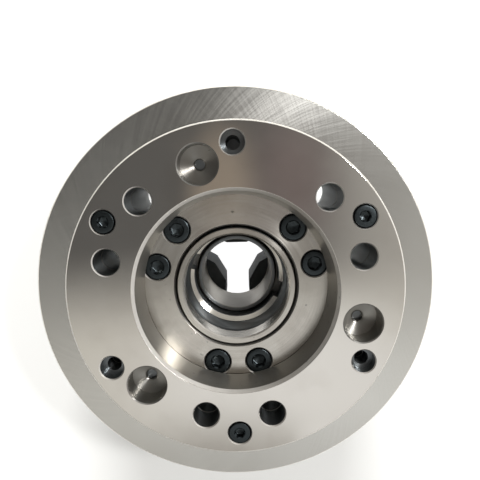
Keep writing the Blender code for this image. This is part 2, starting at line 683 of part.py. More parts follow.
def make_soft_jaw_mesh():
    """Soft jaw with its 120 degree nose; the serrated back seats on the master jaw."""
    half = JAW_WIDTH / 2
    tip = JAW_TIP_WIDTH / 2
    shoulder = JAW_TIP + (half - tip) / math.tan(math.radians(NOSE_ANGLE))
    crest = JAW_HEIGHT + TOOTH_DEPTH
    block = plan_mesh([
        (JAW_TIP, -tip), (shoulder, -half), (JAW_END - JAW_EDGE, -half), (JAW_END, -half + JAW_EDGE),
        (JAW_END, half - JAW_EDGE), (JAW_END - JAW_EDGE, half), (shoulder, half), (JAW_TIP, tip),
    ], 0, crest)
    relief = oblong_mesh(0, MASTER_START, JAW_HEIGHT, crest + PAST, JAW_WIDTH + 2 * PAST)
    groove = groove_mesh(JAW_HEIGHT, crest, JAW_WIDTH)
    hole = stepped_mesh([(tapped(M8) + 2 * GAP, JAW_HEIGHT + 2 * PAST, JAW_HEAD_DEPTH),
                         (head_bore(M8), JAW_HEAD_DEPTH, -PAST)])
    jaw = finished("soft_jaw", block, [
        ("relief", relief),
        ("grooves", scattered(groove, groove_places(MASTER_START, JAW_END + TOOTH_PITCH))),
        ("bolt_holes", scattered(hole, [Matrix.Translation((radius, 0, 0)) for radius in JAW_BOLTS])),
    ], BLACK_STEEL)
    return applied(jaw)


def make_nipple_mesh():
    """Button-head grease nipple that screws in from the front."""
    floor = BODY_FRONT + NIPPLE_DEPTH
    return turned_mesh([
        (0, floor + NIPPLE_THREAD_LENGTH), (NIPPLE_THREAD / 2, floor + NIPPLE_THREAD_LENGTH),
        (NIPPLE_THREAD / 2, floor - GAP), (NIPPLE_HEAD / 2, floor - GAP),
        (NIPPLE_HEAD / 2, floor - NIPPLE_HEAD_HEIGHT / 2), (NIPPLE_HEAD / 4, floor - NIPPLE_HEAD_HEIGHT),
        (0, floor - NIPPLE_HEAD_HEIGHT),
    ], SMALL)


def make_screws():
    """Every cap screw of the body: plate and ring from the back, bush from the front."""
    facing_front = Matrix.Rotation(math.radians(180), 4, "X")
    plate = cap_screw_mesh(M4, PLATE_SCREW_LENGTH)
    ring = cap_screw_mesh(M5, RING_SCREW_LENGTH)
    bush = cap_screw_mesh(M3, BUSH_SCREW_LENGTH)
    up = Matrix.Translation((0, 0, PLATE_FACE))
    places = round_about(BETWEEN_JAWS, PLATE_SCREW_CIRCLE / 2)
    place_copies("plate_screw", plate, [up @ place for place in places])
    up = Matrix.Translation((0, 0, RING_FACE))
    places = round_about(bolt_angles(), RING_SCREW_CIRCLE / 2)
    place_copies("ring_screw", ring, [up @ place for place in places])
    up = Matrix.Translation((0, 0, BUSH_FACE))
    places = round_about(BETWEEN_JAWS, BUSH_SCREW_CIRCLE / 2)
    place_copies("bush_screw", bush, [up @ place @ facing_front for place in places])


def make_jaws():
    """Three like sets, each on its own carrier turned to the jaw's angle; the jaws slide along its -X."""
    facing_front = Matrix.Rotation(math.radians(180), 4, "X")
    bolt_length = tnut_back() - JAW_HEAD_DEPTH - JAW_BOLT_SHORT
    shared = {
        "master_jaw": [(make_master_jaw_mesh(), Matrix.Identity(4))],
        "t_nut": [(make_t_nut_mesh(), Matrix.Identity(4))],
        "soft_jaw": [(make_soft_jaw_mesh(), Matrix.Identity(4))],
    }
    bolt = cap_screw_mesh(M8, bolt_length)
    head_face = JAW_HEAD_DEPTH - GAP - M8[2]
    for title, radius in zip(("jaw_bolt_inner", "jaw_bolt_outer"), JAW_BOLTS):
        shared[title] = [(bolt, Matrix.Translation((radius, 0, head_face)) @ facing_front)]
    for number, angle in enumerate(JAW_ANGLES, 1):
        carrier = add_object(f"jaw_carrier_{number}", None, PARTS)
        carrier.rotation_euler.z = math.radians(angle)
        for title, pieces in shared.items():
            for mesh, place in pieces:
                part = add_object(f"{title}_{number}", mesh, PARTS)
                part.parent = carrier
                part.matrix_local = place


clear_scene()
PARTS = collection("power_chuck")
CUTTERS = collection("cutters")
GROUND_STEEL = material("ground steel", (0.42, 0.41, 0.39), 0.28, 1.0)
FORGED_STEEL = material("turned steel body", (0.38, 0.37, 0.36), 0.32, 1.0)
RING_STEEL = material("turned steel ring", (0.45, 0.43, 0.40), 0.30, 1.0)
HARDENED_STEEL = material("hardened steel", (0.30, 0.29, 0.28), 0.30, 1.0)
BLACK_STEEL = material("blackened steel", (0.035, 0.036, 0.037), 0.45, 0.8)
BLACK_OXIDE = material("black oxide screws", (0.015, 0.016, 0.017), 0.38, 0.8)

make_back_plate()
make_chuck_body()
make_rear_guide_ring()
make_front_bush()
make_wedge_plunger()
make_draw_nut()
make_nut_retainer()
make_screws()
make_jaws()
nipple = make_nipple_mesh()
nipple.materials.append(HARDENED_STEEL)
place_copies("grease_nipple", nipple, round_about(BETWEEN_JAWS, NIPPLE_CIRCLE / 2))
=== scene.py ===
"""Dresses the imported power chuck: finely turned and ground steel, black screws and jaws, stage and camera.

The file is laid out as a Blender add-on and is run as a script. Each operator makes one piece or a group of
like pieces, and main() calls them in order. Metres, +Z up; the chuck's axis is Z and its back face looks up.
New pieces are worked out as whole arrays: profiles turned about an axis and outlines carried along a line.
"""
import math

import bpy
import numpy as np
from bpy.props import FloatProperty, FloatVectorProperty, IntProperty, PointerProperty
from mathutils import Matrix, Vector


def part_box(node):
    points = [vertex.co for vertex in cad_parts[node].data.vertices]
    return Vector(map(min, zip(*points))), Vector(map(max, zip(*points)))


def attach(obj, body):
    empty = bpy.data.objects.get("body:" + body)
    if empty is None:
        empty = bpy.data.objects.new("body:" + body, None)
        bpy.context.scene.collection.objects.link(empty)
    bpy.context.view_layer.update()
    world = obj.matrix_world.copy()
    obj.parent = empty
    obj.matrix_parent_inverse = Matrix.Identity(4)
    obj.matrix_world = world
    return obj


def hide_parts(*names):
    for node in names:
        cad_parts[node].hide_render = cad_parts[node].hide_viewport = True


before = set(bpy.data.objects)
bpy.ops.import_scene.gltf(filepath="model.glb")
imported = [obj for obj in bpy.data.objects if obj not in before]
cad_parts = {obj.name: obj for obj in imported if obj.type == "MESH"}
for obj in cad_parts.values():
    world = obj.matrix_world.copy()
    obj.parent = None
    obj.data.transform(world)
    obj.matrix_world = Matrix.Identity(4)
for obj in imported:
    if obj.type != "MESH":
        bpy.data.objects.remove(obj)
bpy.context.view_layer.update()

bl_info = {
    "name": "Power chuck finish",
    "version": (1, 0, 0),
    "blender": (4, 5, 0),
    "location": "View3D > Sidebar > Chuck",
    "description": "Fine surfaces, finishes and stage for the power chuck",
    "category": "Object",
}

JAW_ANGLES = (90, 210, 330)
BETWEEN_JAWS = (30, 150, 270)
PAST = 0.002                # how far a cutter runs past the face it opens
SHARP = math.radians(38)    # edges that turn more than this stay crisp
BEVELLED = math.radians(30)  # edges that turn more than this are bevelled
SLOPING = (0.3, 0.95)       # share of a chamfer's normal along the axis, from least to most
WHITE = (1.0, 1.0, 1.0)
LAY = "Lay"                 # UV map: place from the surface's own axis, in metres


def round_box(node):
    """Outer radius, lowest and highest level of a round piece of the frame."""
    low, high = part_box(node)
    return (high[0] - low[0]) / 2, low[2], high[2]


BODY_RADIUS, BODY_FRONT, BODY_BACK = round_box("chuck_body")
PLATE_RADIUS, SPIGOT_END, PLATE_FACE = round_box("back_plate")
RING_RADIUS, RING_SEAT, RING_FACE = round_box("rear_guide_ring")
NUT_RADIUS, NUT_FRONT, NUT_FACE = round_box("draw_nut")
RETAINER_RADIUS, RETAINER_LOW, RETAINER_HIGH = round_box("nut_retaining_ring")
BUSH_RADIUS, BUSH_FACE, SLEEVE_END = round_box("front_bush")
PLUNGER_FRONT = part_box("wedge_plunger")[0][2]
PLUNGER_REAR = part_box("wedge_plunger")[1][2]
JAW_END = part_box("soft_jaw_1")[1][1]
MASTER_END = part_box("master_jaw_1")[1][1]
MASTER_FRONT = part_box("master_jaw_1")[0][2]
TNUT_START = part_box("t_nut_1")[0][1]
TNUT_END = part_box("t_nut_1")[1][1]
TNUT_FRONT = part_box("t_nut_1")[0][2]
TNUT_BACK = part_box("t_nut_1")[1][2]


def linear_colour(text):
    """An sRGB hex colour such as #8a8a88, as linear red, green and blue."""
    channels = [int(text[i:i + 2], 16) / 255 for i in (1, 3, 5)]
    return tuple(c / 12.92 if c <= 0.04045 else ((c + 0.055) / 1.055) ** 2.4 for c in channels)


def flat_count(name, default, description):
    return IntProperty(name=name, description=description, default=default, min=12)


def length(name, default, description):
    return FloatProperty(name=name, description=description, default=default, min=0, unit="LENGTH",
                         precision=5)


def amount(name, default, description):
    return FloatProperty(name=name, description=description, default=default, min=0, subtype="FACTOR")


def angle(name, degrees, description):
    return FloatProperty(name=name, description=description, default=math.radians(degrees), unit="ROTATION")


def colour(name, text, description):
    return FloatVectorProperty(name=name, description=description, default=linear_colour(text), size=3,
                               min=0, max=1, subtype="COLOR")


def plain_number(name, default, description):
    return FloatProperty(name=name, description=description, default=default)


def location(name, default, description):
    return FloatVectorProperty(name=name, description=description, default=default, size=3,
                               subtype="TRANSLATION")


def watts(name, default, description):
    return FloatProperty(name=name, description=description, default=default, min=0, unit="POWER")


class ChuckSizes(bpy.types.PropertyGroup):
    """Sizes of the details that the frame's boxes don't give."""
    segments: flat_count("Segments", 192, "Flats round a large turned surface")
    hole_segments: flat_count("Hole segments", 48, "Flats round a hole or screw")
    gap: length("Gap", 0.0003, "Between pieces that seat on each other")
    chamfer: length("Rim chamfer", 0.0005, "On the rims of body and plate")
    edge: length("Broken edge", 0.0002, "On inner edges")
    hole_edge: length("Hole edge", 0.00035, "Chamfer at the mouths of holes")
    nose_mouth: length("Taper mouth", 0.03175, "Radius of the taper seat at the plate's face")
    nose_chamfer: length("Mouth chamfer", 0.0010, "At the mouth of the taper seat")
    nose_taper: angle("Half taper", 7.125, "Half angle of the taper seat")
    spigot: length("Spigot", 0.0490, "Radius of the plate's spigot")
    bolt_circle: length("Bolt circle", 0.0413, "Radius of the circle of bolt and drive holes")
    bolt_hole: length("Bolt hole", 0.0042, "Radius of the mounting-bolt holes")
    bolt_head: length("Bolt head bore", 0.0070, "Radius of the bores for the bolts' heads")
    bolt_grip: length("Bolt grip", 0.0380, "From the plate's face to the seat of the bolts' heads")
    bolt_spread: angle("Bolt spread", 15, "Each side of the middle between two jaws")
    drive_hole: length("Drive hole", 0.0062, "Radius of the drive-button holes")
    drive_depth: length("Drive depth", 0.0084, "Depth of the drive-button holes")
    drive_turn: angle("Drive turn", 15, "From each jaw to its drive-button hole")
    drive_pilot: length("Drive tap", 0.00175, "Radius of the tapped hole in a drive-button hole")
    drive_sink: length("Drive countersink", 0.0023, "Radius of the countersink of that tapped hole")
    drive_cone: length("Drive cone", 0.0005, "Fall of the floor towards that countersink")
    plate_screws: length("Plate screws", 0.0463, "Radius of the circle of the plate's screws")
    plate_shank: length("Plate screw shank", 0.0160, "Length under the head")
    ring_screws: length("Ring screws", 0.0270, "Radius of the circle of the guide ring's screws")
    ring_shank: length("Ring screw shank", 0.0140, "Length under the head")
    bush_screws: length("Bush screws", 0.0270, "Radius of the circle of the bush's screws")
    bush_shank: length("Bush screw shank", 0.0100, "Length under the head")
    head_room: length("Head room", 0.0003, "Round a sunk screw head")
    ring_bore: length("Ring bore", 0.02035, "Radius of the guide ring's bore")
    body_bore: length("Body bore", 0.0233, "Radius of the plunger's bore in the body")
    nut_tail: length("Nut tail", 0.0195, "Radius of the draw nut's tail")
    nut_thread: length("Nut thread", 0.0174, "Outer radius of the draw nut's thread")
    nut_bore: length("Nut bore", 0.0155, "Radius below the thread")
    nut_pilot: length("Nut pilot", 0.0078, "Depth of the plain bore above the thread")
    nut_depth: length("Nut depth", 0.0208, "From the nut's rear face to its shoulder")
    nut_cone: length("Shoulder cone", 0.0008, "Rise of the nut's shoulder towards the thread")
    nut_flange_height: length("Nut flange", 0.0042, "Height of the draw nut's flange")
    nut_chamfer: length("Nut chamfer", 0.0005, "At the mouth of the draw nut")
    nut_slot_width: length("Spanner slot", 0.0060, "Width of the draw nut's spanner slots")
    nut_slot_depth: length("Spanner slot depth", 0.0021, "Radial depth of those slots")
    nut_slot_turn: angle("Spanner slot place", 160, "Where the first of those slots lies")
    thread_pitch: length("Thread pitch", 0.0015, "Of the draw nut's thread")
    thread_depth: length("Thread depth", 0.0006, "Of the draw nut's thread")
    bush_flange: length("Bush flange", 0.0050, "Thickness of the front bush's flange")
    bush_bore: length("Bush bore", 0.0130, "Radius of the front bush's bore")
    bush_chamfer: length("Bush chamfer", 0.0012, "At the front of that bore")
    sleeve: length("Sleeve", 0.0144, "Outer radius of the front bush's sleeve")
    plunger_bore: length("Plunger bore", 0.0153, "Radius of the plunger's bore")
    plunger_radius: length("Plunger radius", 0.0230, "Outer radius of the plunger")
    ear_reach: length("Ear reach", 0.0324, "Radius of an ear's outer face at the plunger's rear")
    ear_width: length("Ear width", 0.0240, "Of the plunger's ears")
    wedge_angle: angle("Wedge angle", 15, "Between the inclined slots and the axis")
    slot_lip: length("Slot lip", 0.0030, "Wall that the hook pulls against")
    slot_neck: length("Slot neck", 0.0116, "Width of the inclined slot's neck")
    slot_head: length("Slot head", 0.0180, "Width of the inclined slot's head")
    slot_head_depth: length("Slot head depth", 0.0036, "Depth of the inclined slot's head")
    guide_neck: length("Guide neck", 0.0180, "Width of a master jaw's neck")
    guide_wings: length("Guide wings", 0.0270, "Width of a master jaw's wings")
    wing_height: length("Wing height", 0.0080, "Height of those wings")
    neck_depth: length("Neck depth", 0.0075, "From the body's front face to the wings")
    wing_setback: length("Wing setback", 0.0005, "Of the wings' inner end")
    jaw_travel: length("Jaw travel", 0.00268, "Of each jaw, in from where it is drawn")
    hook_start: length("Hook start", 0.0030, "From the plunger's rear end")
    hook_length: length("Hook length", 0.0180, "Along the axis")
    stem_depth: length("Stem depth", 0.0100, "Radial thickness behind the hook")
    tooth_pitch: length("Serration pitch", 0.0015, "Between master and soft jaws")
    tooth_depth: length("Serration depth", 0.0009, "Between master and soft jaws")
    tooth_flank: angle("Serration flank", 30, "From the axis")
    jaw_height: length("Jaw height", 0.0240, "Of a soft jaw, under its serrations")
    jaw_width: length("Jaw width", 0.0224, "Of a soft jaw")
    jaw_tip: length("Jaw tip", 0.0084, "Radius of a soft jaw's flat tip")
    jaw_tip_width: length("Jaw tip width", 0.0087, "Of that tip")
    nose_angle: angle("Nose angle", 60, "Of a soft jaw's nose, from its middle plane")
    jaw_edge: length("Jaw edge", 0.0004, "Bevel on the jaws' edges")
    jaw_head_depth: length("Jaw counterbore", 0.0085, "Depth of the bores for the jaw bolts' heads")
    tnut_head: length("T-nut head", 0.0152, "Width of a T-nut's head")
    tnut_neck: length("T-nut neck", 0.0100, "Width of a T-nut's neck")
    tnut_height: length("T-nut head height", 0.0045, "Height of a T-nut's head")
    tnut_edge: length("T-nut edge", 0.0052, "From its end holes to its ends")
    tnut_play: length("T-nut play", 0.00025, "On each side of a T-nut")
    nipple_circle: length("Nipples", 0.0510, "Radius of the circle of the grease nipples")
    nipple_hole: length("Nipple hole", 0.0035, "Radius of the nipples' counterbores")
    nipple_depth: length("Nipple depth", 0.0030, "Depth of those counterbores")
    nipple_thread: length("Nipple thread", 0.0025, "Radius of a nipple's thread")
    nipple_thread_length: length("Nipple thread length", 0.0050, "Length of that thread")
    nipple_head: length("Nipple head", 0.0028, "Radius of a nipple's head")
    nipple_head_height: length("Nipple head height", 0.0026, "Height of that head")
    lift_hole: length("Lifting hole", 0.0035, "Radius of the tapped hole in the rim")
    lift_depth: length("Lifting hole depth", 0.0120, "Depth of that hole")


class ChuckFinishes(bpy.types.PropertyGroup):
    """Colours and roughness of the finishes."""
    ground_steel: colour("Ground steel", "#d6d2cb", "Plate's face")
    rotary_steel: colour("Rotary-ground steel", "#d2d1cc", "Body's faces")
    turned_steel: colour("Turned steel", "#d0ccc4", "Guide ring, bush and draw nut")
    wall_steel: colour("Turned walls", "#a3a09a", "Taper seat and the walls of the draw nut and bush")
    bore_steel: colour("Oiled bore", "#7d8183", "Walls of drilled holes")
    hardened_steel: colour("Hardened steel", "#96948f", "Plunger and grease nipples")
    black_oxide: colour("Black oxide", "#3a3f41", "Cap screws and T-nuts")
    black_jaws: colour("Blackened steel", "#3f4344", "Soft and master jaws")
    oil_stain: colour("Oil stain", "#8a7d70", "Thin dried oil on the steel")
    fleck: colour("Fleck", "#3b3a36", "Small dark specks on turned steel")
    ground_roughness: amount("Ground roughness", 0.08, "Roughness of the ground faces")
    rotary_roughness: amount("Rotary roughness", 0.23, "Roughness of the body's faces")
    turned_roughness: amount("Turned roughness", 0.18, "Roughness of the turned faces")
    ground_spread: amount("Ground spread", 0.5, "How far the ground face draws out highlights")
    rotary_spread: amount("Rotary spread", 0.7, "How far the body's faces draw them out")
    rotary_turn: amount("Rotary turn", 0.828, "Slant of that spread, as a share of a full turn")
    turned_spread: amount("Turned spread", 0.9, "How far turned steel draws them out")


class ChuckStage(bpy.types.PropertyGroup):
    """Camera, lamps and floor."""
    focal: plain_number("Focal length", 39, "In millimetres, on a sensor 36 mm wide")
    camera_place: location("Camera", (0.001085, 0.035931, 0.158257), "From the middle of the plate's face")
    camera_pitch: angle("Camera pitch", 8.518, "Leans the camera back towards the chuck's middle")
    camera_yaw: angle("Camera yaw", 0.742, "Turns the camera sideways")
    chuck_turn: angle("Chuck turn", 1.26, "By which the chuck stands turned before the camera")
    shift_x: plain_number("Shift x", -0.01324, "Of the frame, as a share of its width")
    shift_y: plain_number("Shift y", 0.0307, "Of the frame, as a share of its width")
    floor: colour("Floor", "#f4f4f2", "Colour of the floor")
    floor_reach: length("Floor reach", 3.0, "Half the width of the floor's card")
    floor_drop: length("Floor drop", 0.0002, "From the jaws' front faces down to the card")
    floor_depth: length("Floor depth", 0.01, "From the jaws' front faces down to the card's underside")
    key_power: watts("Key light", 17, "Large lamp above one side, which the steel doesn't mirror")
    key_place: location("Key place", (0.0, 0.95, 0.60), "Place of that lamp")
    key_size: length("Key size", 0.4, "Side of that lamp")
    glint_power: watts("Glint light", 6, "Small lamp whose reflections make the fans on ring and body")
    glint_place: location("Glint place", (0.55, 0.33, 1.00), "Place of that lamp")
    glint_size: length("Glint size", 0.12, "Side of that lamp")
    ceiling: colour("Ceiling", "#686766", "Dim, straight above the chuck")
    side_screen: colour("Side screen", "#bcbab6", "Mirrored by the right of the faces")
    front_screen: colour("Front screen", "#e2e0da", "Mirrored by the lower half of the faces")
    left_wall: colour("Left wall", "#8f8e8c", "Near the horizon on the left; it is white on the right")
    warm_board: colour("Warm board", "#a2978b", "Mirrored just above the bore")
    plum_board: colour("Plum board", "#857b7a", "Mirrored to the right of the warm board")


class Screw:
    """A cap screw's radii and heights from its thread, head, head height and socket, in metres."""

    def __init__(self, thread, head, height, flats):
        self.thread = thread / 2
        self.head = head / 2
        self.height = height
        self.flats = flats / 2


M3 = Screw(0.0030, 0.0055, 0.0029, 0.0025)
M4 = Screw(0.0040, 0.0069, 0.0039, 0.0030)
M5 = Screw(0.0050, 0.0083, 0.0049, 0.0040)
M8 = Screw(0.0080, 0.0128, 0.0078, 0.0060)


# Surfaces


def set_lay(mesh, axis):
    """Keeps each corner's place from an axis as a UV map: (u, v) = (x, y) - axis."""
    places = np.zeros(3 * len(mesh.vertices))
    mesh.vertices.foreach_get("co", places)
    corners = np.zeros(len(mesh.loops), np.int32)
    mesh.loops.foreach_get("vertex_index", corners)
    layer = mesh.uv_layers.get(LAY) or mesh.uv_layers.new(name=LAY)
    layer.data.foreach_set("uv", (places.reshape(-1, 3)[corners, :2] - np.asarray(axis)[:2]).ravel())


def add_piece(name, points, faces, finish):
    """An object from an array of points and arrays of faces; points that no face uses are dropped."""
    used, order = np.unique(np.concatenate([np.ravel(group) for group in faces]), return_inverse=True)
    rows, start = [], 0
    for group in faces:
        rows += order[start:start + group.size].reshape(group.shape).tolist()
        start += group.size
    mesh = bpy.data.meshes.new(name)
    mesh.from_pydata(points[used], [], rows)
    set_lay(mesh, (0.0, 0.0))
    mesh.materials.append(finish_of(finish))
    piece = bpy.data.objects.new(name, mesh)
    bpy.context.scene.collection.objects.link(piece)
    return piece


def turned(name, profile, finish, segments=None):
    """A surface of revolution. Row (r, z) of the profile goes to (r cos a, r sin a, z) for every angle a;
    r and z may themselves be arrays over a, as in a thread or a hexagon socket. The profile runs up its
    outer side and down its inner one. It closes on itself, or starts and ends on the axis."""
    segments = segments or sizes().segments
    turn = np.arange(segments) * (2 * np.pi / segments)
    radius = np.array([np.broadcast_to(row[0], segments) for row in profile], float)
    level = np.array([np.broadcast_to(row[1], segments) for row in profile], float)
    points = np.stack([radius * np.cos(turn), radius * np.sin(turn), level], axis=-1)
    index = np.arange(radius.size).reshape(radius.shape)
    pole = radius.max(axis=1) < 1e-9
    index[pole] = index[pole][:, :1]
    lower = index[:-1] if pole.any() else index
    upper = np.roll(index, -1, axis=0)[:len(lower)]
    quads = np.stack([lower, np.roll(lower, -1, axis=1), np.roll(upper, -1, axis=1), upper], axis=-1)
    quads = quads.reshape(-1, 4)
    from_pole = quads[:, 0] == quads[:, 1]
    to_pole = quads[:, 2] == quads[:, 3]
    faces = [quads[~from_pole & ~to_pole], quads[from_pole][:, [0, 2, 3]], quads[to_pole][:, [0, 1, 2]]]
    return add_piece(name, points.reshape(-1, 3), [group for group in faces if group.size], finish)


def softened(corners, radius):
    """A profile whose corners are rounded: a corner p whose neighbours lie in the directions u and v becomes
    three points of the parabola p + (1 - t)^2 r u + t^2 r v, with r at most 0.45 of the way to the nearer."""
    corners = np.asarray(corners, float)
    before = np.roll(corners, 1, axis=0) - corners
    after = np.roll(corners, -1, axis=0) - corners
    near = np.minimum(np.linalg.norm(before, axis=1), np.linalg.norm(after, axis=1))
    reach = np.minimum(radius, 0.45 * near)[:, None, None]
    before /= np.linalg.norm(before, axis=1)[:, None]
    after /= np.linalg.norm(after, axis=1)[:, None]
    t = np.linspace(0, 1, 3)[None, :, None]
    rounded = corners[:, None] + reach * ((1 - t) ** 2 * before[:, None] + t ** 2 * after[:, None])
    return rounded.reshape(-1, 2)


def prism(name, outline, low, high, finish):
    """An outline of (x, y) points, anticlockwise, carried up along Z: (x, y, z) for z = low and high."""
    outline = np.asarray(outline, float)
    count = len(outline)
    points = np.concatenate([np.column_stack([outline, np.full(count, level)]) for level in (low, high)])
    ring = np.arange(count)
    after = np.roll(ring, -1)
    sides = np.stack([ring, after, after + count, ring + count], axis=-1)
    return add_piece(name, points, [sides, ring[None, ::-1], ring[None] + count], finish)


def side_prism(name, outline, width, finish):
    """An outline of (x, z) points, anticlockwise, carried across Y from -width / 2 to width / 2."""
    piece = prism(name, outline, -width / 2, width / 2, finish)
    piece.data.transform(Matrix.Rotation(math.radians(90), 4, "X"))
    return piece


def block(name, inner, outer, low, high, width, finish="bore"):
    """A rectangular block that reaches out along X."""
    return side_prism(name, [(inner, low), (outer, low), (outer, high), (inner, high)], width, finish)


def hole(name, steps, face, mouth, finish="bore", upward=False):
    """A cutter for a stepped hole from a face: each (radius, depth) step goes on to that depth, and the mouth
    gets a chamfer. The hole goes down from the face, or up into it."""
    rows = [(0, -PAST), (steps[0][0] + mouth + PAST, -PAST), (steps[0][0], mouth)]
    for number, (radius, depth) in enumerate(steps):
        if number:
            rows.append((radius, steps[number - 1][1]))
        rows.append((radius, depth))
    rows.append((0, steps[-1][1]))
    profile = [(radius, face + depth) for radius, depth in rows]
    if not upward:
        profile = [(radius, face - depth) for radius, depth in rows[::-1]]
    return faced(turned(name, profile, finish, sizes().hole_segments), "edge", *SLOPING)


def sunk(screw, depth):
    """Steps of a counterbored hole that takes a cap screw, down to a depth."""
    s = sizes()
    return [(screw.head + s.head_room, screw.height + s.head_room), (screw.thread + s.gap, depth)]


def tap(name, screw, shank, face, level):
    """A cutter for the thread of a screw whose head is sunk in a face: from a level on to past its tip."""
    s = sizes()
    depth = screw.height + s.head_room + shank + PAST - abs(face - level)
    return hole(name, [(screw.thread + s.gap, depth)], level, s.edge, upward=face < level)


def placed(piece, name, place):
    """A copy of a piece at a place, a 4x4 matrix that goes into its mesh."""
    copy = piece.copy()
    copy.name = name
    copy.data = piece.data.copy()
    copy.data.name = name
    copy.data.transform(place)
    set_lay(copy.data, place.translation)
    bpy.context.scene.collection.objects.link(copy)
    return copy


def removed(piece):
    """Takes a pattern piece away once its copies are made."""
    mesh = piece.data
    bpy.data.objects.remove(piece)
    bpy.data.meshes.remove(mesh)


def on_circle(degrees, radius=0.0):
    """A place on a circle about the axis, turned so that its own X looks outwards."""
    return Matrix.Rotation(math.radians(degrees), 4, "Z") @ Matrix.Translation((radius, 0, 0))


def copies_at(piece, places):
    """Copies of a cutter at a list of places; the first one is used up."""
    copies = [placed(piece, piece.name, place) for place in places]
    removed(piece)
    return copies


def ring_of(piece, angles, radius=0.0):
    """Copies of a cutter set out on a circle; the first one is used up."""
    return copies_at(piece, [on_circle(turn, radius) for turn in angles])


def apply_modifiers(piece):
    """Puts the evaluated mesh in place of the piece's own and drops its modifiers."""
    graph = bpy.context.evaluated_depsgraph_get()
    graph.update()
    made = bpy.data.meshes.new_from_object(piece.evaluated_get(graph), preserve_all_data_layers=True,
                                           depsgraph=graph)
    old = piece.data
    piece.modifiers.clear()
    piece.data = made
    bpy.data.meshes.remove(old)
    made.name = piece.name


def combine(piece, others, operation="DIFFERENCE"):
    """Cuts the others from the piece, or joins them to it, with one exact Boolean that keeps their finish."""
    group = bpy.data.collections.new("cutters")
    for other in others:
        group.objects.link(other)
    step = piece.modifiers.new("Boolean", "BOOLEAN")
    step.operation = operation
    step.solver = "EXACT"
    step.material_mode = "TRANSFER"
    step.operand_type = "COLLECTION"
    step.collection = group
    apply_modifiers(piece)
    for other in others:
        removed(other)
    bpy.data.collections.remove(group)
    return piece


def bevelled(piece, width, steps=2):
    """Rounds every sharp edge of a piece."""
    step = piece.modifiers.new("Bevel", "BEVEL")
    step.width = width
    step.segments = steps
    step.limit_method = "ANGLE"
    step.angle_limit = BEVELLED
    apply_modifiers(piece)
    return piece


def faced(piece, finish, least=0.95, most=1.1, low=-1.0, high=1.0):
    """Gives the faces whose normal has a share along the axis between least and most, and whose middle lies
    between the levels low and high, a finish of their own."""
    mesh = piece.data
    mesh.materials.append(finish_of(finish))
    normals = np.zeros(3 * len(mesh.polygons))
    mesh.polygons.foreach_get("normal", normals)
    middles = np.zeros(3 * len(mesh.polygons))
    mesh.polygons.foreach_get("center", middles)
    index = np.zeros(len(mesh.polygons), np.int32)
    mesh.polygons.foreach_get("material_index", index)
    share = np.abs(normals[2::3])
    level = middles[2::3]
    index[(share > least) & (share < most) & (level > low) & (level < high)] = len(mesh.materials) - 1
    mesh.polygons.foreach_set("material_index", index)
    return piece


def finished(piece, body, slot, *nodes):
    """Shades a piece, seats it on its body and lets it stand for its nodes of the frame."""
    piece.data.shade_smooth()
    piece.data.set_sharp_from_angle(angle=SHARP)
    step = piece.modifiers.new("Flat faces stay flat", "WEIGHTED_NORMAL")
    step.weight = 100
    step.keep_sharp = True
    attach(piece, body)
    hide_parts(*nodes)
    return piece


def sizes():
    return bpy.context.scene.chuck_sizes


def finishes():
    return bpy.context.scene.chuck_finishes


def bolt_angles():
    """The mounting bolts and the ring's screws stand in pairs about the middles between the jaws."""
    spread = math.degrees(sizes().bolt_spread)
    return [middle + side * spread for middle in BETWEEN_JAWS for side in (-1, 1)]


def cap_screw(name, screw, shank):
    """A cap screw along Z, the top of its head at z = 0. Its socket is a hexagon whose wall lies at
    flats / cos(a) for a turned into -30..30 degrees, with a cone at the mouth and a drilled bottom."""
    segments = sizes().hole_segments
    turn = np.arange(segments) * (360 / segments)
    hexagon = screw.flats / np.cos(np.radians((turn + 30) % 60 - 30))
    corner = screw.flats / math.cos(math.radians(30))
    edge = 0.09 * screw.height
    seat = -screw.height
    floor = 0.6 * seat
    drilled = 0.65 * seat
    foot = seat - shank
    tip = 0.2 * screw.thread
    fillet = 0.06 * screw.height
    return turned(name, [
        (0, foot), (screw.thread - tip, foot), (screw.thread, foot + tip), (screw.thread, seat - fillet),
        (screw.thread + fillet, seat), (screw.head - edge / 3, seat), (screw.head, seat + edge / 3),
        (screw.head, -edge), (screw.head - 0.3 * edge, -0.3 * edge), (screw.head - edge, 0),
        (corner * 1.06, 0), (np.maximum(hexagon, screw.flats * 1.02), 0.08 * seat), (hexagon, 0.16 * seat),
        (hexagon, floor),
        (0.75 * hexagon, drilled), (0.45 * screw.flats, drilled), (0, drilled - 0.25 * screw.flats),
    ], "screw", segments)


# Materials


def add_node(tree, kind, links=None, **settings):
    """Adds a node with its settings. Each of its links gives an input a value, another node's output, or
    another node, which stands for the first of its outputs in use."""
    node = tree.nodes.new(kind)
    for name, value in settings.items():
        setattr(node, name, value)
    for name, value in (links or {}).items():
        if isinstance(value, bpy.types.Node):
            value = next(output for output in value.outputs if output.enabled)
        if isinstance(value, bpy.types.NodeSocket):
            tree.links.new(value, node.inputs[name])
        else:
            node.inputs[name].default_value = value
    return node


def new_tree(name):
    """A new material and its node tree, empty."""
    made = bpy.data.materials.new(name)
    made.use_nodes = True
    made.node_tree.nodes.clear()
    return made, made.node_tree


def join_metal(tree, base, roughness, marks, strength, depth, metallic=1.0, spread=0.0, turn=0.0,
               tangent=None):
    """Joins colour, roughness and the relief of the marks to a Principled shader and the output."""
    relief = add_node(tree, "ShaderNodeBump", {"Strength": strength, "Distance": depth, "Height": marks})
    links = {"Base Color": base, "Roughness": roughness, "Metallic": metallic, "Anisotropic": spread,
             "Anisotropic Rotation": turn, "Normal": relief}
    if tangent:
        links["Tangent"] = tangent
    shader = add_node(tree, "ShaderNodeBsdfPrincipled", links)
    add_node(tree, "ShaderNodeOutputMaterial", {"Surface": shader})


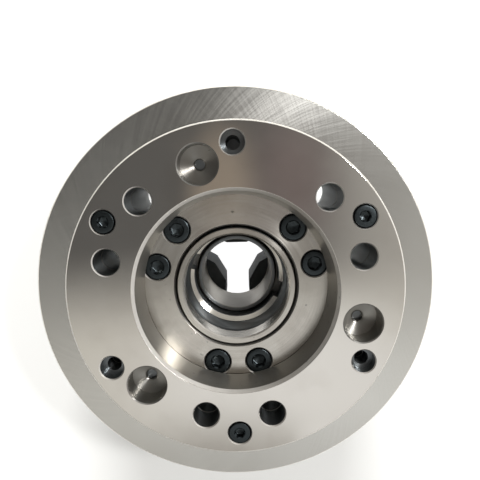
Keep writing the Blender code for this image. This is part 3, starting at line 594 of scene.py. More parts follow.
def from_axis(tree):
    """How far a point lies from its surface's own axis, and the unit direction out to it."""
    uv = add_node(tree, "ShaderNodeUVMap", uv_map=LAY)
    radius = add_node(tree, "ShaderNodeVectorMath", {0: uv}, operation="LENGTH")
    return radius, add_node(tree, "ShaderNodeVectorMath", {0: uv}, operation="NORMALIZE")


def across_marks(tree, outwards):
    """The direction across marks that run round the axis: the normal crossed with the way round the axis, so
    it points outwards on a face and along the axis on a wall."""
    way_round = add_node(tree, "ShaderNodeVectorMath", {0: (0, 0, 1), 1: outwards}, operation="CROSS_PRODUCT")
    way_round = add_node(tree, "ShaderNodeVectorTransform", {"Vector": way_round},
                         vector_type="VECTOR", convert_from="OBJECT", convert_to="WORLD")
    normal = add_node(tree, "ShaderNodeNewGeometry").outputs["Normal"]
    return add_node(tree, "ShaderNodeVectorMath", {0: normal, 1: way_round}, operation="CROSS_PRODUCT")


def lathe_marks(tree, spacing, round_scale, detail):
    """Noise that runs round the surface's own axis, and the direction across the marks. The noise is read at
    (radius / spacing, round_scale cos a, round_scale sin a, height / spacing)."""
    radius, outwards = from_axis(tree)
    parts = add_node(tree, "ShaderNodeSeparateXYZ", {"Vector": outwards}).outputs
    place = add_node(tree, "ShaderNodeTexCoord").outputs["Object"]
    height = add_node(tree, "ShaderNodeSeparateXYZ", {"Vector": place}).outputs["Z"]
    across, cosine, sine, level = (
        add_node(tree, "ShaderNodeMath", {0: value, 1: scale}, operation="MULTIPLY") for value, scale in (
            (radius, 1 / spacing), (parts["X"], round_scale), (parts["Y"], round_scale),
            (height, 1 / spacing)))
    where = add_node(tree, "ShaderNodeCombineXYZ", {"X": across, "Y": cosine, "Z": sine})
    noise = add_node(tree, "ShaderNodeTexNoise", {
        "Vector": where, "W": level, "Scale": 1.0, "Detail": detail}, noise_dimensions="4D")
    return noise, across_marks(tree, outwards)


def blotches(tree, size, detail=3.0):
    """Soft cloudy noise of a given size in metres, on the object's own coordinates."""
    place = add_node(tree, "ShaderNodeTexCoord").outputs["Object"]
    return add_node(tree, "ShaderNodeTexNoise", {
        "Vector": place, "Scale": 1 / size, "Detail": detail, "Roughness": 0.55})


def ranged(tree, value, low, high, start=0.3, end=0.7):
    """What lies between start and end in a value, spread over low to high."""
    return add_node(tree, "ShaderNodeMapRange", {
        "Value": value, "From Min": start, "From Max": end, "To Min": low, "To Max": high})


def mixed(tree, factor, first, second):
    """Two colours mixed by a factor, each a linear colour or a node; at 1 the second covers the first."""
    ends = [value if isinstance(value, bpy.types.Node) else (*value, 1) for value in (first, second)]
    return add_node(tree, "ShaderNodeMix", {0: factor, 6: ends[0], 7: ends[1]}, data_type="RGBA")


def ground_steel():
    """Low-alloy steel, face-ground: fine rings round the axis that only show as a silky sheen, a slightly
    warm grey with faint patches of dried oil, and smooth enough to mirror soft shapes."""
    made, tree = new_tree("face-ground steel")
    look = finishes()
    rings, tangent = lathe_marks(tree, spacing=0.00045, round_scale=6.0, detail=2.0)
    stain = ranged(tree, blotches(tree, size=0.022), 0.0, 0.16, start=0.5, end=0.75)
    base = mixed(tree, stain, look.ground_steel, look.oil_stain)
    middle = look.ground_roughness
    rough = ranged(tree, blotches(tree, size=0.012), middle - 0.01, middle + 0.03)
    join_metal(tree, base, rough, rings, strength=0.15, depth=0.000004, spread=look.ground_spread,
               tangent=tangent)
    return made


def rotary_steel():
    """Forged steel, rotary-ground with a cup wheel: fine arcs that leave the axis at a steady slant and
    spread highlights across themselves. An arc is a spiral, the place turned back by tan(slant) x ln(radius).
    The arcs are drawn 0.6 mm apart, coarser than real grit marks, so that they show."""
    made, tree = new_tree("rotary-ground steel")
    look = finishes()
    radius, outwards = from_axis(tree)
    log = add_node(tree, "ShaderNodeMath", {0: radius, 1: math.e}, operation="LOGARITHM")
    arcs_round = 100
    arcs_out = 5
    marks = []
    for slant, share in ((46, 1.0), (-38, 0.5)):
        steepness = math.tan(math.radians(slant))
        turn = add_node(tree, "ShaderNodeMath", {0: log, 1: steepness}, operation="MULTIPLY")
        back = add_node(tree, "ShaderNodeVectorRotate", {"Vector": outwards, "Angle": turn},
                        rotation_type="Z_AXIS")
        parts = add_node(tree, "ShaderNodeSeparateXYZ", {"Vector": back}).outputs
        where = add_node(tree, "ShaderNodeCombineXYZ", {"X": parts["X"], "Y": parts["Y"], "Z": log})
        scaled = add_node(tree, "ShaderNodeVectorMath", {0: where, 1: (arcs_round, arcs_round, arcs_out)},
                          operation="MULTIPLY")
        noise = add_node(tree, "ShaderNodeTexNoise", {"Vector": scaled, "Scale": 1.0, "Detail": 3.0})
        marks.append(add_node(tree, "ShaderNodeMath", {0: noise, 1: share}, operation="MULTIPLY"))
    crossed = add_node(tree, "ShaderNodeMath", {0: marks[0], 1: marks[1]}, operation="ADD")
    base = mixed(tree, ranged(tree, blotches(tree, size=0.030), 0.0, 0.12), look.rotary_steel, look.oil_stain)
    middle = look.rotary_roughness
    rough = ranged(tree, crossed, middle - 0.02, middle + 0.04, start=0.6, end=0.9)
    join_metal(tree, base, rough, crossed, strength=0.25, depth=0.000004, spread=look.rotary_spread,
               turn=look.rotary_turn, tangent=across_marks(tree, outwards))
    return made


def turned_steel(name, base_colour, roughness, spread=None):
    """Steel turned on a lathe: feed marks round the axis, drawn 0.35 mm apart so that they show, which spread
    highlights across the marks; a little darker where oil has dried, with a few small flecks."""
    made, tree = new_tree(name)
    look = finishes()
    marks, tangent = lathe_marks(tree, spacing=0.00035, round_scale=1.5, detail=3.0)
    stain = ranged(tree, blotches(tree, size=0.009), 0.0, 0.25, start=0.45, end=0.75)
    fleck = ranged(tree, blotches(tree, size=0.0016), 0.0, 0.55, start=0.68, end=0.76)
    base = mixed(tree, fleck, mixed(tree, stain, base_colour, look.oil_stain), look.fleck)
    rough = ranged(tree, marks, roughness - 0.02, roughness + 0.05)
    join_metal(tree, base, rough, marks, strength=0.35, depth=0.000006,
               spread=look.turned_spread if spread is None else spread, tangent=tangent)
    return made


def black_finish(name, base_colour, roughness, grain, metallic):
    """Steel blackened in a salt bath and oiled: nearly black, with a painted sheen, soft patches where the
    colour is lighter, and the grain of the surface below it."""
    made, tree = new_tree(name)
    fine = blotches(tree, grain, detail=4.0)
    # painted sheen: in soft patches the colour rises to 1.5 times, standing in for the oil's sheen
    painted_sheen = ranged(tree, blotches(tree, size=0.006), 0.0, 0.35)
    base = mixed(tree, painted_sheen, base_colour, [1.5 * value for value in base_colour])
    rough = ranged(tree, fine, roughness - 0.06, roughness + 0.1)
    join_metal(tree, base, rough, fine, strength=0.4, depth=0.00001, metallic=metallic)
    return made


def white_card():
    """Matt white card that takes the chuck's shadow. It glows white under the bore, and far away where it
    meets the white surroundings, for the camera and for the steel that mirrors it."""
    made, tree = new_tree("matt white card")
    place = add_node(tree, "ShaderNodeTexCoord").outputs["Object"]
    away = add_node(tree, "ShaderNodeVectorMath", {0: place}, operation="LENGTH")
    path = add_node(tree, "ShaderNodeLightPath").outputs
    seen = add_node(tree, "ShaderNodeMath", {
        0: path["Is Camera Ray"], 1: path["Is Glossy Ray"]}, operation="ADD")
    under_bore = ranged(tree, away, 1.0, 0.0, start=0.026, end=0.032)
    far_away = ranged(tree, away, 0.0, 0.7, start=0.22, end=0.80)
    where = add_node(tree, "ShaderNodeMath", {0: under_bore, 1: far_away}, operation="ADD")
    glow = add_node(tree, "ShaderNodeMath", {0: seen, 1: where}, operation="MULTIPLY")
    shader = add_node(tree, "ShaderNodeBsdfPrincipled", {
        "Base Color": (*bpy.context.scene.chuck_stage.floor, 1), "Roughness": 0.8,
        "Emission Color": (*WHITE, 1), "Emission Strength": glow})
    add_node(tree, "ShaderNodeOutputMaterial", {"Surface": shader})
    return made


FINISH_MAKERS = {
    "plate": ground_steel,
    "body": rotary_steel,
    "rim": lambda: turned_steel("turned steel rim", finishes().wall_steel, 0.22),
    "ring": lambda: turned_steel("turned steel", finishes().turned_steel, finishes().turned_roughness),
    "wall": lambda: turned_steel("turned walls", finishes().wall_steel, 0.34),
    "edge": lambda: turned_steel("broken edges", finishes().ground_steel, 0.3, spread=0.2),
    "bore": lambda: turned_steel("drilled and oiled steel", finishes().bore_steel, 0.3),
    "hard": lambda: turned_steel("hardened steel", finishes().hardened_steel, 0.3),
    "screw": lambda: black_finish("black oxide", finishes().black_oxide, 0.3, grain=0.0005, metallic=1.0),
    "jaw": lambda: black_finish(
        "blackened and oiled steel", finishes().black_jaws, 0.7, grain=0.0008, metallic=0.0),
    "card": white_card,
}
FINISHES_MADE = {}


def finish_of(name):
    """The material of a finish, made the first time that it is asked for."""
    if name not in FINISHES_MADE:
        FINISHES_MADE[name] = FINISH_MAKERS[name]()
    return FINISHES_MADE[name]


# Pieces


class CHUCK_OT_back_plate(bpy.types.Operator):
    """Make the back plate: flange and spigot, taper seat, bolt holes, counterbores and drive-button holes"""
    bl_idname = "chuck.back_plate"
    bl_label = "Back plate"

    def execute(self, context):
        s = sizes()
        seat = BODY_BACK + s.gap
        depth = PLATE_FACE - SPIGOT_END
        narrow = s.nose_mouth - depth * math.tan(s.nose_taper)
        plate = turned("back_plate_ground", softened([
            (narrow, SPIGOT_END), (s.spigot - s.chamfer, SPIGOT_END), (s.spigot, SPIGOT_END + s.chamfer),
            (s.spigot, seat), (PLATE_RADIUS - s.edge, seat), (PLATE_RADIUS, seat + s.edge),
            (PLATE_RADIUS, PLATE_FACE - s.chamfer), (PLATE_RADIUS - s.chamfer, PLATE_FACE),
            (s.nose_mouth + s.nose_chamfer, PLATE_FACE), (s.nose_mouth, PLATE_FACE - s.nose_chamfer),
        ], s.edge / 2), "wall")
        faced(plate, "plate")
        faced(plate, "edge", *SLOPING)
        through = depth + PAST
        bolts = hole("bolt", [(s.bolt_hole, through)], PLATE_FACE, s.hole_edge)
        screws = hole("screw", sunk(M4, through), PLATE_FACE, s.hole_edge)
        floor = PLATE_FACE - s.drive_depth - s.drive_cone
        drives = turned("drive", [
            (0, SPIGOT_END - PAST), (s.drive_pilot, SPIGOT_END - PAST),
            (s.drive_pilot, floor - (s.drive_sink - s.drive_pilot)), (s.drive_sink, floor),
            (s.drive_hole, PLATE_FACE - s.drive_depth), (s.drive_hole, PLATE_FACE - s.hole_edge),
            (s.drive_hole + s.hole_edge + PAST, PLATE_FACE + PAST), (0, PLATE_FACE + PAST),
        ], "hard", s.hole_segments)
        drive_angles = [jaw + math.degrees(s.drive_turn) for jaw in JAW_ANGLES]
        combine(plate, [
            *ring_of(bolts, bolt_angles(), s.bolt_circle),
            *ring_of(screws, BETWEEN_JAWS + JAW_ANGLES, s.plate_screws),
            *ring_of(drives, drive_angles, s.bolt_circle),
        ])
        finished(plate, "chuck", "ground_steel", "back_plate")
        return {"FINISHED"}


class CHUCK_OT_chuck_body(bpy.types.Operator):
    """Make the chuck body: rim, register, ring pocket, plunger bore, jaw slots and holes"""
    bl_idname = "chuck.chuck_body"
    bl_label = "Chuck body"

    def execute(self, context):
        s = sizes()
        register = s.spigot + s.gap
        pocket = RING_RADIUS + s.gap
        floor = RING_SEAT - s.gap
        shelf = SPIGOT_END - s.gap
        bush = BUSH_RADIUS + s.gap
        seat = BUSH_FACE + s.bush_flange + s.gap
        body = turned("chuck_body_ground", softened([
            (bush + s.edge, BODY_FRONT), (BODY_RADIUS - s.chamfer, BODY_FRONT),
            (BODY_RADIUS, BODY_FRONT + s.chamfer), (BODY_RADIUS, BODY_BACK - s.chamfer),
            (BODY_RADIUS - s.chamfer, BODY_BACK), (register + s.edge, BODY_BACK),
            (register, BODY_BACK - s.edge), (register, shelf), (pocket + s.edge, shelf),
            (pocket, shelf - s.edge), (pocket, floor),
            (s.body_bore + s.edge, floor), (s.body_bore, floor - s.edge), (s.body_bore, seat),
            (bush, seat), (bush, BODY_FRONT + s.edge),
        ], s.edge / 2), "rim")
        faced(body, "body")
        faced(body, "edge", *SLOPING)
        faced(body, "bore", low=BODY_FRONT + s.edge, high=BODY_BACK - s.edge)
        wing_front = BODY_FRONT + s.neck_depth
        wing_back = wing_front + s.wing_height
        inside = s.body_bore / 2
        channel_reach = s.ear_reach + 2 * s.gap
        hook_back = PLUNGER_REAR - s.hook_start
        slots = [
            block("channel", inside, channel_reach, seat - PAST, floor + PAST, s.ear_width + 2 * s.gap),
            block("hook_pocket", channel_reach - PAST, stem_end() + s.gap, wing_front, hook_back + s.gap,
                  s.guide_neck + 2 * s.gap),
            block("wings", inside, BODY_RADIUS + PAST, wing_front - s.gap, wing_back + s.gap,
                  s.guide_wings + 2 * s.gap),
            block("neck", inside, BODY_RADIUS + PAST, BODY_FRONT - PAST, wing_front + PAST,
                  s.guide_neck + 2 * s.gap),
        ]
        head_seat = PLATE_FACE - s.bolt_grip
        bolts = hole("bolt", [
            (s.bolt_hole, shelf - head_seat), (s.bolt_head, shelf - BODY_FRONT + PAST),
        ], shelf, 2 * s.edge)
        plate_taps = tap("plate_tap", M4, s.plate_shank, PLATE_FACE, shelf)
        ring_taps = tap("ring_tap", M5, s.ring_shank, RING_FACE, floor)
        bush_taps = tap("bush_tap", M3, s.bush_shank, BUSH_FACE, seat)
        nipples = hole("nipple", [
            (s.nipple_hole, s.nipple_depth),
            (s.nipple_thread + s.gap, s.nipple_depth + s.nipple_thread_length + 2 * s.gap),
        ], BODY_FRONT, s.edge, upward=True)
        lift = hole("lift", [(s.lift_hole, s.lift_depth)], 0, 2 * s.edge)
        middle = Matrix.Translation((BODY_RADIUS, 0, (BODY_FRONT + BODY_BACK) / 2))
        lift_place = on_circle(BETWEEN_JAWS[0]) @ middle @ Matrix.Rotation(math.radians(90), 4, "Y")
        combine(body, [copy for slot in slots for copy in ring_of(slot, JAW_ANGLES)])
        combine(body, [
            *ring_of(bolts, bolt_angles(), s.bolt_circle),
            *ring_of(plate_taps, BETWEEN_JAWS + JAW_ANGLES, s.plate_screws),
            *ring_of(ring_taps, bolt_angles(), s.ring_screws),
            *ring_of(bush_taps, BETWEEN_JAWS, s.bush_screws),
            *ring_of(nipples, BETWEEN_JAWS, s.nipple_circle),
            *copies_at(lift, [lift_place]),
        ])
        finished(body, "chuck", "turned_steel", "chuck_body")
        return {"FINISHED"}


class CHUCK_OT_guide_ring(bpy.types.Operator):
    """Make the rear guide ring with its counterbored screw holes"""
    bl_idname = "chuck.guide_ring"
    bl_label = "Rear guide ring"

    def execute(self, context):
        s = sizes()
        ring = turned("rear_guide_ring_turned", softened([
            (s.ring_bore, RING_SEAT), (RING_RADIUS - s.edge, RING_SEAT), (RING_RADIUS, RING_SEAT + s.edge),
            (RING_RADIUS, RING_FACE - s.edge), (RING_RADIUS - s.edge, RING_FACE),
            (s.ring_bore + s.chamfer, RING_FACE), (s.ring_bore, RING_FACE - s.chamfer),
        ], s.edge / 3), "wall")
        faced(ring, "ring")
        screws = hole("screw", sunk(M5, RING_FACE - RING_SEAT + PAST), RING_FACE, s.hole_edge)
        combine(ring, ring_of(screws, bolt_angles(), s.ring_screws))
        finished(ring, "chuck", "turned_steel", "rear_guide_ring")
        return {"FINISHED"}


def thread_rows(s, top, bottom):
    """Rows of a helical thread, from the top down. At angle a and height z the wall's radius is the thread's
    outer radius less its depth times a triangle wave of z / pitch - a / 360, flattened at crest and root."""
    turn = np.arange(s.segments) / s.segments
    rows = []
    for level in np.linspace(top, bottom, int(8 * (top - bottom) / s.thread_pitch)):
        wave = np.abs(2 * ((level / s.thread_pitch - turn) % 1) - 1)
        fade = min(1, (top - level) / s.thread_pitch, (level - bottom) / s.thread_pitch)
        rows.append((s.nut_thread - s.thread_depth * fade * np.clip(1.35 * wave - 0.15, 0, 1), level))
    return rows


class CHUCK_OT_draw_nut(bpy.types.Operator):
    """Make the draw nut with its thread and spanner slots"""
    bl_idname = "chuck.draw_nut"
    bl_label = "Draw nut"

    def execute(self, context):
        s = sizes()
        shoulder = NUT_FACE - s.nut_depth
        flange_back = NUT_FRONT + s.nut_flange_height
        nut = turned("draw_nut_turned", [
            (s.nut_bore + s.edge, NUT_FRONT), (NUT_RADIUS - s.edge, NUT_FRONT),
            (NUT_RADIUS, NUT_FRONT + s.edge), (NUT_RADIUS, flange_back - s.edge),
            (NUT_RADIUS - s.edge, flange_back), (s.nut_tail, flange_back),
            (s.nut_tail, NUT_FACE - s.edge), (s.nut_tail - s.edge, NUT_FACE),
            (s.nut_thread + s.nut_chamfer, NUT_FACE), (s.nut_thread, NUT_FACE - s.nut_chamfer),
            *thread_rows(s, NUT_FACE - s.nut_pilot, shoulder + s.nut_cone), (s.nut_bore + s.edge, shoulder),
            (s.nut_bore, shoulder - s.edge), (s.nut_bore, NUT_FRONT + s.edge),
        ], "ring")
        faced(nut, "bore", -1.0, 0.88, high=NUT_FACE - s.nut_pilot)
        slot = block("slot", s.nut_bore - PAST, s.nut_bore + s.nut_slot_depth, NUT_FRONT - PAST,
                     shoulder + 2 * s.nut_chamfer, s.nut_slot_width)
        first = math.degrees(s.nut_slot_turn)
        combine(nut, ring_of(slot, (first, first + 180)))
        finished(nut, "draw_nut", "hardened_steel", "draw_nut")
        return {"FINISHED"}


class CHUCK_OT_retaining_ring(bpy.types.Operator):
    """Make the ring that holds the draw nut in the plunger"""
    bl_idname = "chuck.retaining_ring"
    bl_label = "Nut retaining ring"

    def execute(self, context):
        s = sizes()
        inner = s.nut_tail + s.gap
        ring = turned("nut_retaining_ring_turned", [
            (inner + s.edge, RETAINER_LOW), (RETAINER_RADIUS - s.edge, RETAINER_LOW),
            (RETAINER_RADIUS, RETAINER_LOW + s.edge), (RETAINER_RADIUS, RETAINER_HIGH - s.edge),
            (RETAINER_RADIUS - s.edge, RETAINER_HIGH), (inner + s.edge, RETAINER_HIGH),
            (inner, RETAINER_HIGH - s.edge), (inner, RETAINER_LOW + s.edge),
        ], "hard")
        finished(ring, "plunger", "hardened_steel", "nut_retaining_ring")
        return {"FINISHED"}


def ear_face(level):
    """Radius of a plunger ear's inclined outer face at a level."""
    s = sizes()
    return s.ear_reach - (PLUNGER_REAR - level) * math.tan(s.wedge_angle)


def stem_end():
    """Outer radius of the stem that carries a master jaw's hook."""
    s = sizes()
    return ear_face(PLUNGER_REAR - s.hook_start) + s.stem_depth


def inclined(outer, inner, low, high):
    """A slab parallel to the wedge: from one depth to another below the ear's face, between two levels."""
    slant = 1 / math.cos(sizes().wedge_angle)
    return [(ear_face(high) - inner * slant, high), (ear_face(low) - inner * slant, low),
            (ear_face(low) - outer * slant, low), (ear_face(high) - outer * slant, high)]


class CHUCK_OT_plunger(bpy.types.Operator):
    """Make the wedge plunger: a tube with three ears and an inclined T-slot in each"""
    bl_idname = "chuck.plunger"
    bl_label = "Wedge plunger"

    def execute(self, context):
        s = sizes()
        low = PLUNGER_FRONT
        high = PLUNGER_REAR
        tube = turned("wedge_plunger_ground", [
            (0, low), (s.plunger_radius - s.edge, low), (s.plunger_radius, low + s.edge),
            (s.plunger_radius, high - s.edge), (s.plunger_radius - s.edge, high), (0, high),
        ], "hard")
        inside = (s.plunger_radius + s.plunger_bore) / 2
        ear = side_prism("ear", [(inside, low), (ear_face(low), low), (ear_face(high), high), (inside, high)],
                         s.ear_width, "hard")
        bevelled(ear, s.edge)
        combine(tube, ring_of(ear, JAW_ANGLES), "UNION")
        nut_seat = NUT_RADIUS + s.gap
        counterbore = NUT_FRONT - s.gap
        bore = turned("bore", [
            (0, low - PAST), (s.plunger_bore + s.edge + PAST, low - PAST), (s.plunger_bore, low + s.edge),
            (s.plunger_bore, counterbore), (nut_seat, counterbore), (nut_seat, high - s.edge),
            (nut_seat + s.edge + PAST, high + PAST), (0, high + PAST),
        ], "hard")
        beyond = (low - PAST, high + PAST)
        neck = inclined(-PAST, s.slot_lip + s.slot_head_depth / 2, *beyond)
        head = inclined(s.slot_lip, s.slot_lip + s.slot_head_depth, *beyond)
        slots = [side_prism("neck", neck, s.slot_neck, "hard"), side_prism("head", head, s.slot_head, "hard")]
        combine(tube, [bore, *(copy for slot in slots for copy in ring_of(slot, JAW_ANGLES))])
        finished(tube, "plunger", "hardened_steel", "wedge_plunger")
        return {"FINISHED"}


class CHUCK_OT_front_bush(bpy.types.Operator):
    """Make the front bush with the sleeve that reaches back through the plunger"""
    bl_idname = "chuck.front_bush"
    bl_label = "Front bush"

    def execute(self, context):
        s = sizes()
        seat = BUSH_FACE + s.bush_flange
        bush = turned("front_bush_turned", softened([
            (s.bush_bore + s.bush_chamfer, BUSH_FACE), (BUSH_RADIUS - s.edge, BUSH_FACE),
            (BUSH_RADIUS, BUSH_FACE + s.edge), (BUSH_RADIUS, seat), (s.sleeve, seat),
            (s.sleeve, SLEEVE_END - s.edge), (s.sleeve - s.edge, SLEEVE_END),
            (s.bush_bore + s.edge, SLEEVE_END), (s.bush_bore, SLEEVE_END - s.edge),
            (s.bush_bore, BUSH_FACE + s.bush_chamfer),
        ], s.edge / 3), "wall")
        faced(bush, "bore")
        screws = hole("screw", sunk(M3, s.bush_flange + PAST), BUSH_FACE, s.edge, upward=True)
        combine(bush, ring_of(screws, BETWEEN_JAWS, s.bush_screws))
        finished(bush, "chuck", "ground_steel", "front_bush")
        return {"FINISHED"}


class CHUCK_OT_cap_screws(bpy.types.Operator):
    """Make the cap screws of plate, guide ring, bush and jaws"""
    bl_idname = "chuck.cap_screws"
    bl_label = "Cap screws"

    def execute(self, context):
        s = sizes()
        jaw_face = s.jaw_head_depth - s.gap - M8.height
        jaw_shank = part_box("jaw_bolt_inner_1")[1][2] - jaw_face - M8.height
        inner, outer = jaw_bolt_radii()
        rows = (
            ("plate_screw", M4, s.plate_shank, PLATE_FACE, s.plate_screws, BETWEEN_JAWS),
            ("ring_screw", M5, s.ring_shank, RING_FACE, s.ring_screws, bolt_angles()),
            ("bush_screw", M3, s.bush_shank, BUSH_FACE, s.bush_screws, BETWEEN_JAWS),
            ("jaw_bolt_inner", M8, jaw_shank, jaw_face, inner, JAW_ANGLES),
            ("jaw_bolt_outer", M8, jaw_shank, jaw_face, outer, JAW_ANGLES),
        )
        for title, screw, shank, face, radius, angles in rows:
            half_turn = 180 if face < BODY_FRONT + s.bush_flange else 0
            to_face = Matrix.Translation((0, 0, face)) @ Matrix.Rotation(math.radians(half_turn), 4, "X")
            pattern = cap_screw(title, screw, shank)
            for number, turn in enumerate(angles, 1):
                body = f"jaw_{number}" if screw is M8 else "chuck"
                copy = placed(pattern, f"{title}_{number}_oxide", on_circle(turn, radius) @ to_face)
                finished(copy, body, "black_oxide", f"{title}_{number}")
            removed(pattern)
        return {"FINISHED"}


def serration(first, end, floor, crest):
    """Points along a serrated edge: grooves a pitch apart whose flanks run out by depth x tan(flank)."""
    s = sizes()
    run = s.tooth_depth * math.tan(s.tooth_flank)
    half = (s.tooth_pitch / 2 - run) / 2
    centres = np.arange(first, end, s.tooth_pitch)
    across = centres[:, None] + np.array([-half - run, -half, half, half + run])
    levels = np.tile([crest, floor, floor, crest], (len(centres), 1))
    return np.column_stack([across.ravel(), levels.ravel()])


def jaw_bolt_radii():
    """How far from the axis the inner and the outer bolt of a jaw stand."""
    return TNUT_START + sizes().tnut_edge, TNUT_END - sizes().tnut_edge


def both_bolts(cutter):
    """Copies of a cutter at the two bolts of a jaw that is made along X."""
    return copies_at(cutter, [on_circle(0, radius) for radius in jaw_bolt_radii()])


def on_each_jaw(pattern, title, finish, slot):
    """Sets a copy of a pattern, made along X, on each of the three jaws; the pattern is used up."""
    for number, turn in enumerate(JAW_ANGLES, 1):
        copy = placed(pattern, f"{title}_{number}_{finish}", on_circle(turn))
        finished(copy, f"jaw_{number}", slot, f"{title}_{number}")
    removed(pattern)


class CHUCK_OT_soft_jaws(bpy.types.Operator):
    """Make the soft jaws: a block with a 120 degree nose, serrated back and counterbored bolt holes"""
    bl_idname = "chuck.soft_jaws"
    bl_label = "Soft jaws"

    def execute(self, context):
        s = sizes()
        half = s.jaw_width / 2
        tip = s.jaw_tip_width / 2
        shoulder = s.jaw_tip + (half - tip) / math.tan(s.nose_angle)
        crest = s.jaw_height + s.tooth_depth
        start = BUSH_RADIUS + s.gap + s.jaw_travel
        jaw = prism("soft_jaw", [
            (s.jaw_tip, -tip), (shoulder, -half), (JAW_END, -half), (JAW_END, half), (shoulder, half),
            (s.jaw_tip, tip),
        ], 0, crest + PAST, "jaw")
        bevelled(jaw, s.jaw_edge, 3)
        teeth = serration(start, JAW_END + 2 * s.tooth_pitch, s.jaw_height, crest)
        side = side_prism("side", [
            (0, -PAST), (teeth[-1, 0], -PAST), *teeth[teeth[:, 0] > start][::-1], (start, s.jaw_height),
            (0, s.jaw_height),
        ], 2 * s.jaw_width, "jaw")
        combine(jaw, [side], "INTERSECT")
        bolt = hole("bolt", [
            (M8.head + s.head_room, s.jaw_head_depth), (M8.thread + 2 * s.gap, crest + PAST),
        ], 0, s.edge, "jaw", upward=True)
        combine(jaw, both_bolts(bolt))
        on_each_jaw(jaw, "soft_jaw", "blackened", "blackened_steel")
        return {"FINISHED"}


class CHUCK_OT_master_jaws(bpy.types.Operator):
    """Make the master jaws: T-guide, inclined hook, serrated front and slot for the T-nut"""
    bl_idname = "chuck.master_jaws"
    bl_label = "Master jaws"

    def execute(self, context):
        s = sizes()
        start = BUSH_RADIUS + s.gap + s.jaw_travel
        wing_front = BODY_FRONT + s.neck_depth
        wing_back = wing_front + s.wing_height
        hook_back = PLUNGER_REAR - s.hook_start
        hook_front = hook_back - s.hook_length
        step = (wing_front + wing_back) / 2
        clear = s.gap / math.cos(s.wedge_angle)
        teeth = serration(start + s.tooth_pitch / 2, MASTER_END, MASTER_FRONT + s.tooth_depth, MASTER_FRONT)
        teeth = teeth[(teeth[:, 0] > start + s.edge) & (teeth[:, 0] < MASTER_END - s.edge)]
        jaw = side_prism("master_jaw", [
            (start, MASTER_FRONT), *teeth, (MASTER_END, MASTER_FRONT), (MASTER_END, step), (stem_end(), step),
            (stem_end(), hook_back), (ear_face(hook_back) + clear, hook_back),
            (ear_face(hook_front) + clear, hook_front), (start, hook_front),
        ], s.guide_neck, "jaw")
        wings = block("wings", start + s.wing_setback, MASTER_END, wing_front, wing_back, s.guide_wings,
                      "jaw")
        bevelled(wings, s.edge)
        hook = (hook_front, hook_back)
        neck = side_prism("neck", inclined(-s.stem_depth / 2, s.slot_lip + s.slot_head_depth / 2, *hook),
                          s.slot_neck - 2 * s.gap, "jaw")
        head = side_prism("head", inclined(s.slot_lip + s.gap, s.slot_lip + s.slot_head_depth - s.gap, *hook),
                          s.slot_head - 2 * s.gap, "jaw")
        bevelled(head, s.edge)
        combine(jaw, [wings, neck, head], "UNION")
        shoulder = TNUT_BACK - s.tnut_height
        slot_neck = block("slot_neck", start - PAST, MASTER_END + PAST, MASTER_FRONT - PAST,
                          shoulder + s.tnut_height / 2, s.tnut_neck + 2 * s.tnut_play, "jaw")
        slot_head = block("slot_head", TNUT_START - 2 * s.gap, MASTER_END + PAST, shoulder - s.tnut_play,
                          TNUT_BACK + s.tnut_play, s.tnut_head + 2 * s.tnut_play, "jaw")
        combine(jaw, [slot_neck, slot_head])
        on_each_jaw(jaw, "master_jaw", "blackened", "blackened_steel")
        return {"FINISHED"}


class CHUCK_OT_t_nuts(bpy.types.Operator):
    """Make the T-nuts with their tapped holes"""
    bl_idname = "chuck.t_nuts"
    bl_label = "T-nuts"

    def execute(self, context):
        s = sizes()
        shoulder = TNUT_BACK - s.tnut_height
        nut = block("t_nut", TNUT_START, TNUT_END, shoulder, TNUT_BACK, s.tnut_head, "screw")
        bevelled(nut, s.edge)
        neck = block("neck", TNUT_START, TNUT_END, TNUT_FRONT, shoulder + s.tnut_height / 2, s.tnut_neck,
                     "screw")
        combine(nut, [bevelled(neck, s.edge)], "UNION")
        through = TNUT_BACK - TNUT_FRONT + PAST
        thread = hole("thread", [(M8.thread + s.gap, through)], TNUT_BACK, s.edge, "screw")
        combine(nut, both_bolts(thread))
        on_each_jaw(nut, "t_nut", "oxide", "black_oxide")
        return {"FINISHED"}


class CHUCK_OT_grease_nipples(bpy.types.Operator):
    """Make the button-head grease nipples in the front face"""
    bl_idname = "chuck.grease_nipples"
    bl_label = "Grease nipples"

    def execute(self, context):
        s = sizes()
        floor = BODY_FRONT + s.nipple_depth - s.gap
        tip = floor + s.gap - s.nipple_head_height
        ball = s.nipple_head / 2
        rim = floor - 0.4 * s.nipple_head_height
        thread_end = floor + s.gap + s.nipple_thread_length
        nipple = turned("nipple", [
            (0, tip), (0.5 * ball, tip), (0.85 * ball, tip + 0.2 * ball), (ball, tip + 0.6 * ball),
            (0.8 * ball, rim - s.edge / 2), (s.nipple_head - s.edge, rim), (s.nipple_head, rim + s.edge),
            (s.nipple_head, floor), (s.nipple_thread, floor), (s.nipple_thread, thread_end - s.edge),
            (s.nipple_thread - s.edge, thread_end), (0, thread_end),
        ], "hard", s.hole_segments)
        for number, turn in enumerate(BETWEEN_JAWS, 1):
            copy = placed(nipple, f"grease_nipple_{number}_steel", on_circle(turn, s.nipple_circle))
            finished(copy, "chuck", "hardened_steel", f"grease_nipple_{number}")
        removed(nipple)
        return {"FINISHED"}


# Stage


def smooth(tree, value, low, high):
    """A smooth step of a value from 0 at low to 1 at high, or the other way round if low is the higher."""
    rising = low < high
    return add_node(tree, "ShaderNodeMapRange", {
        "Value": value, "From Min": min(low, high), "From Max": max(low, high),
        "To Min": 0.0 if rising else 1.0, "To Max": 1.0 if rising else 0.0,
    }, interpolation_type="SMOOTHSTEP")


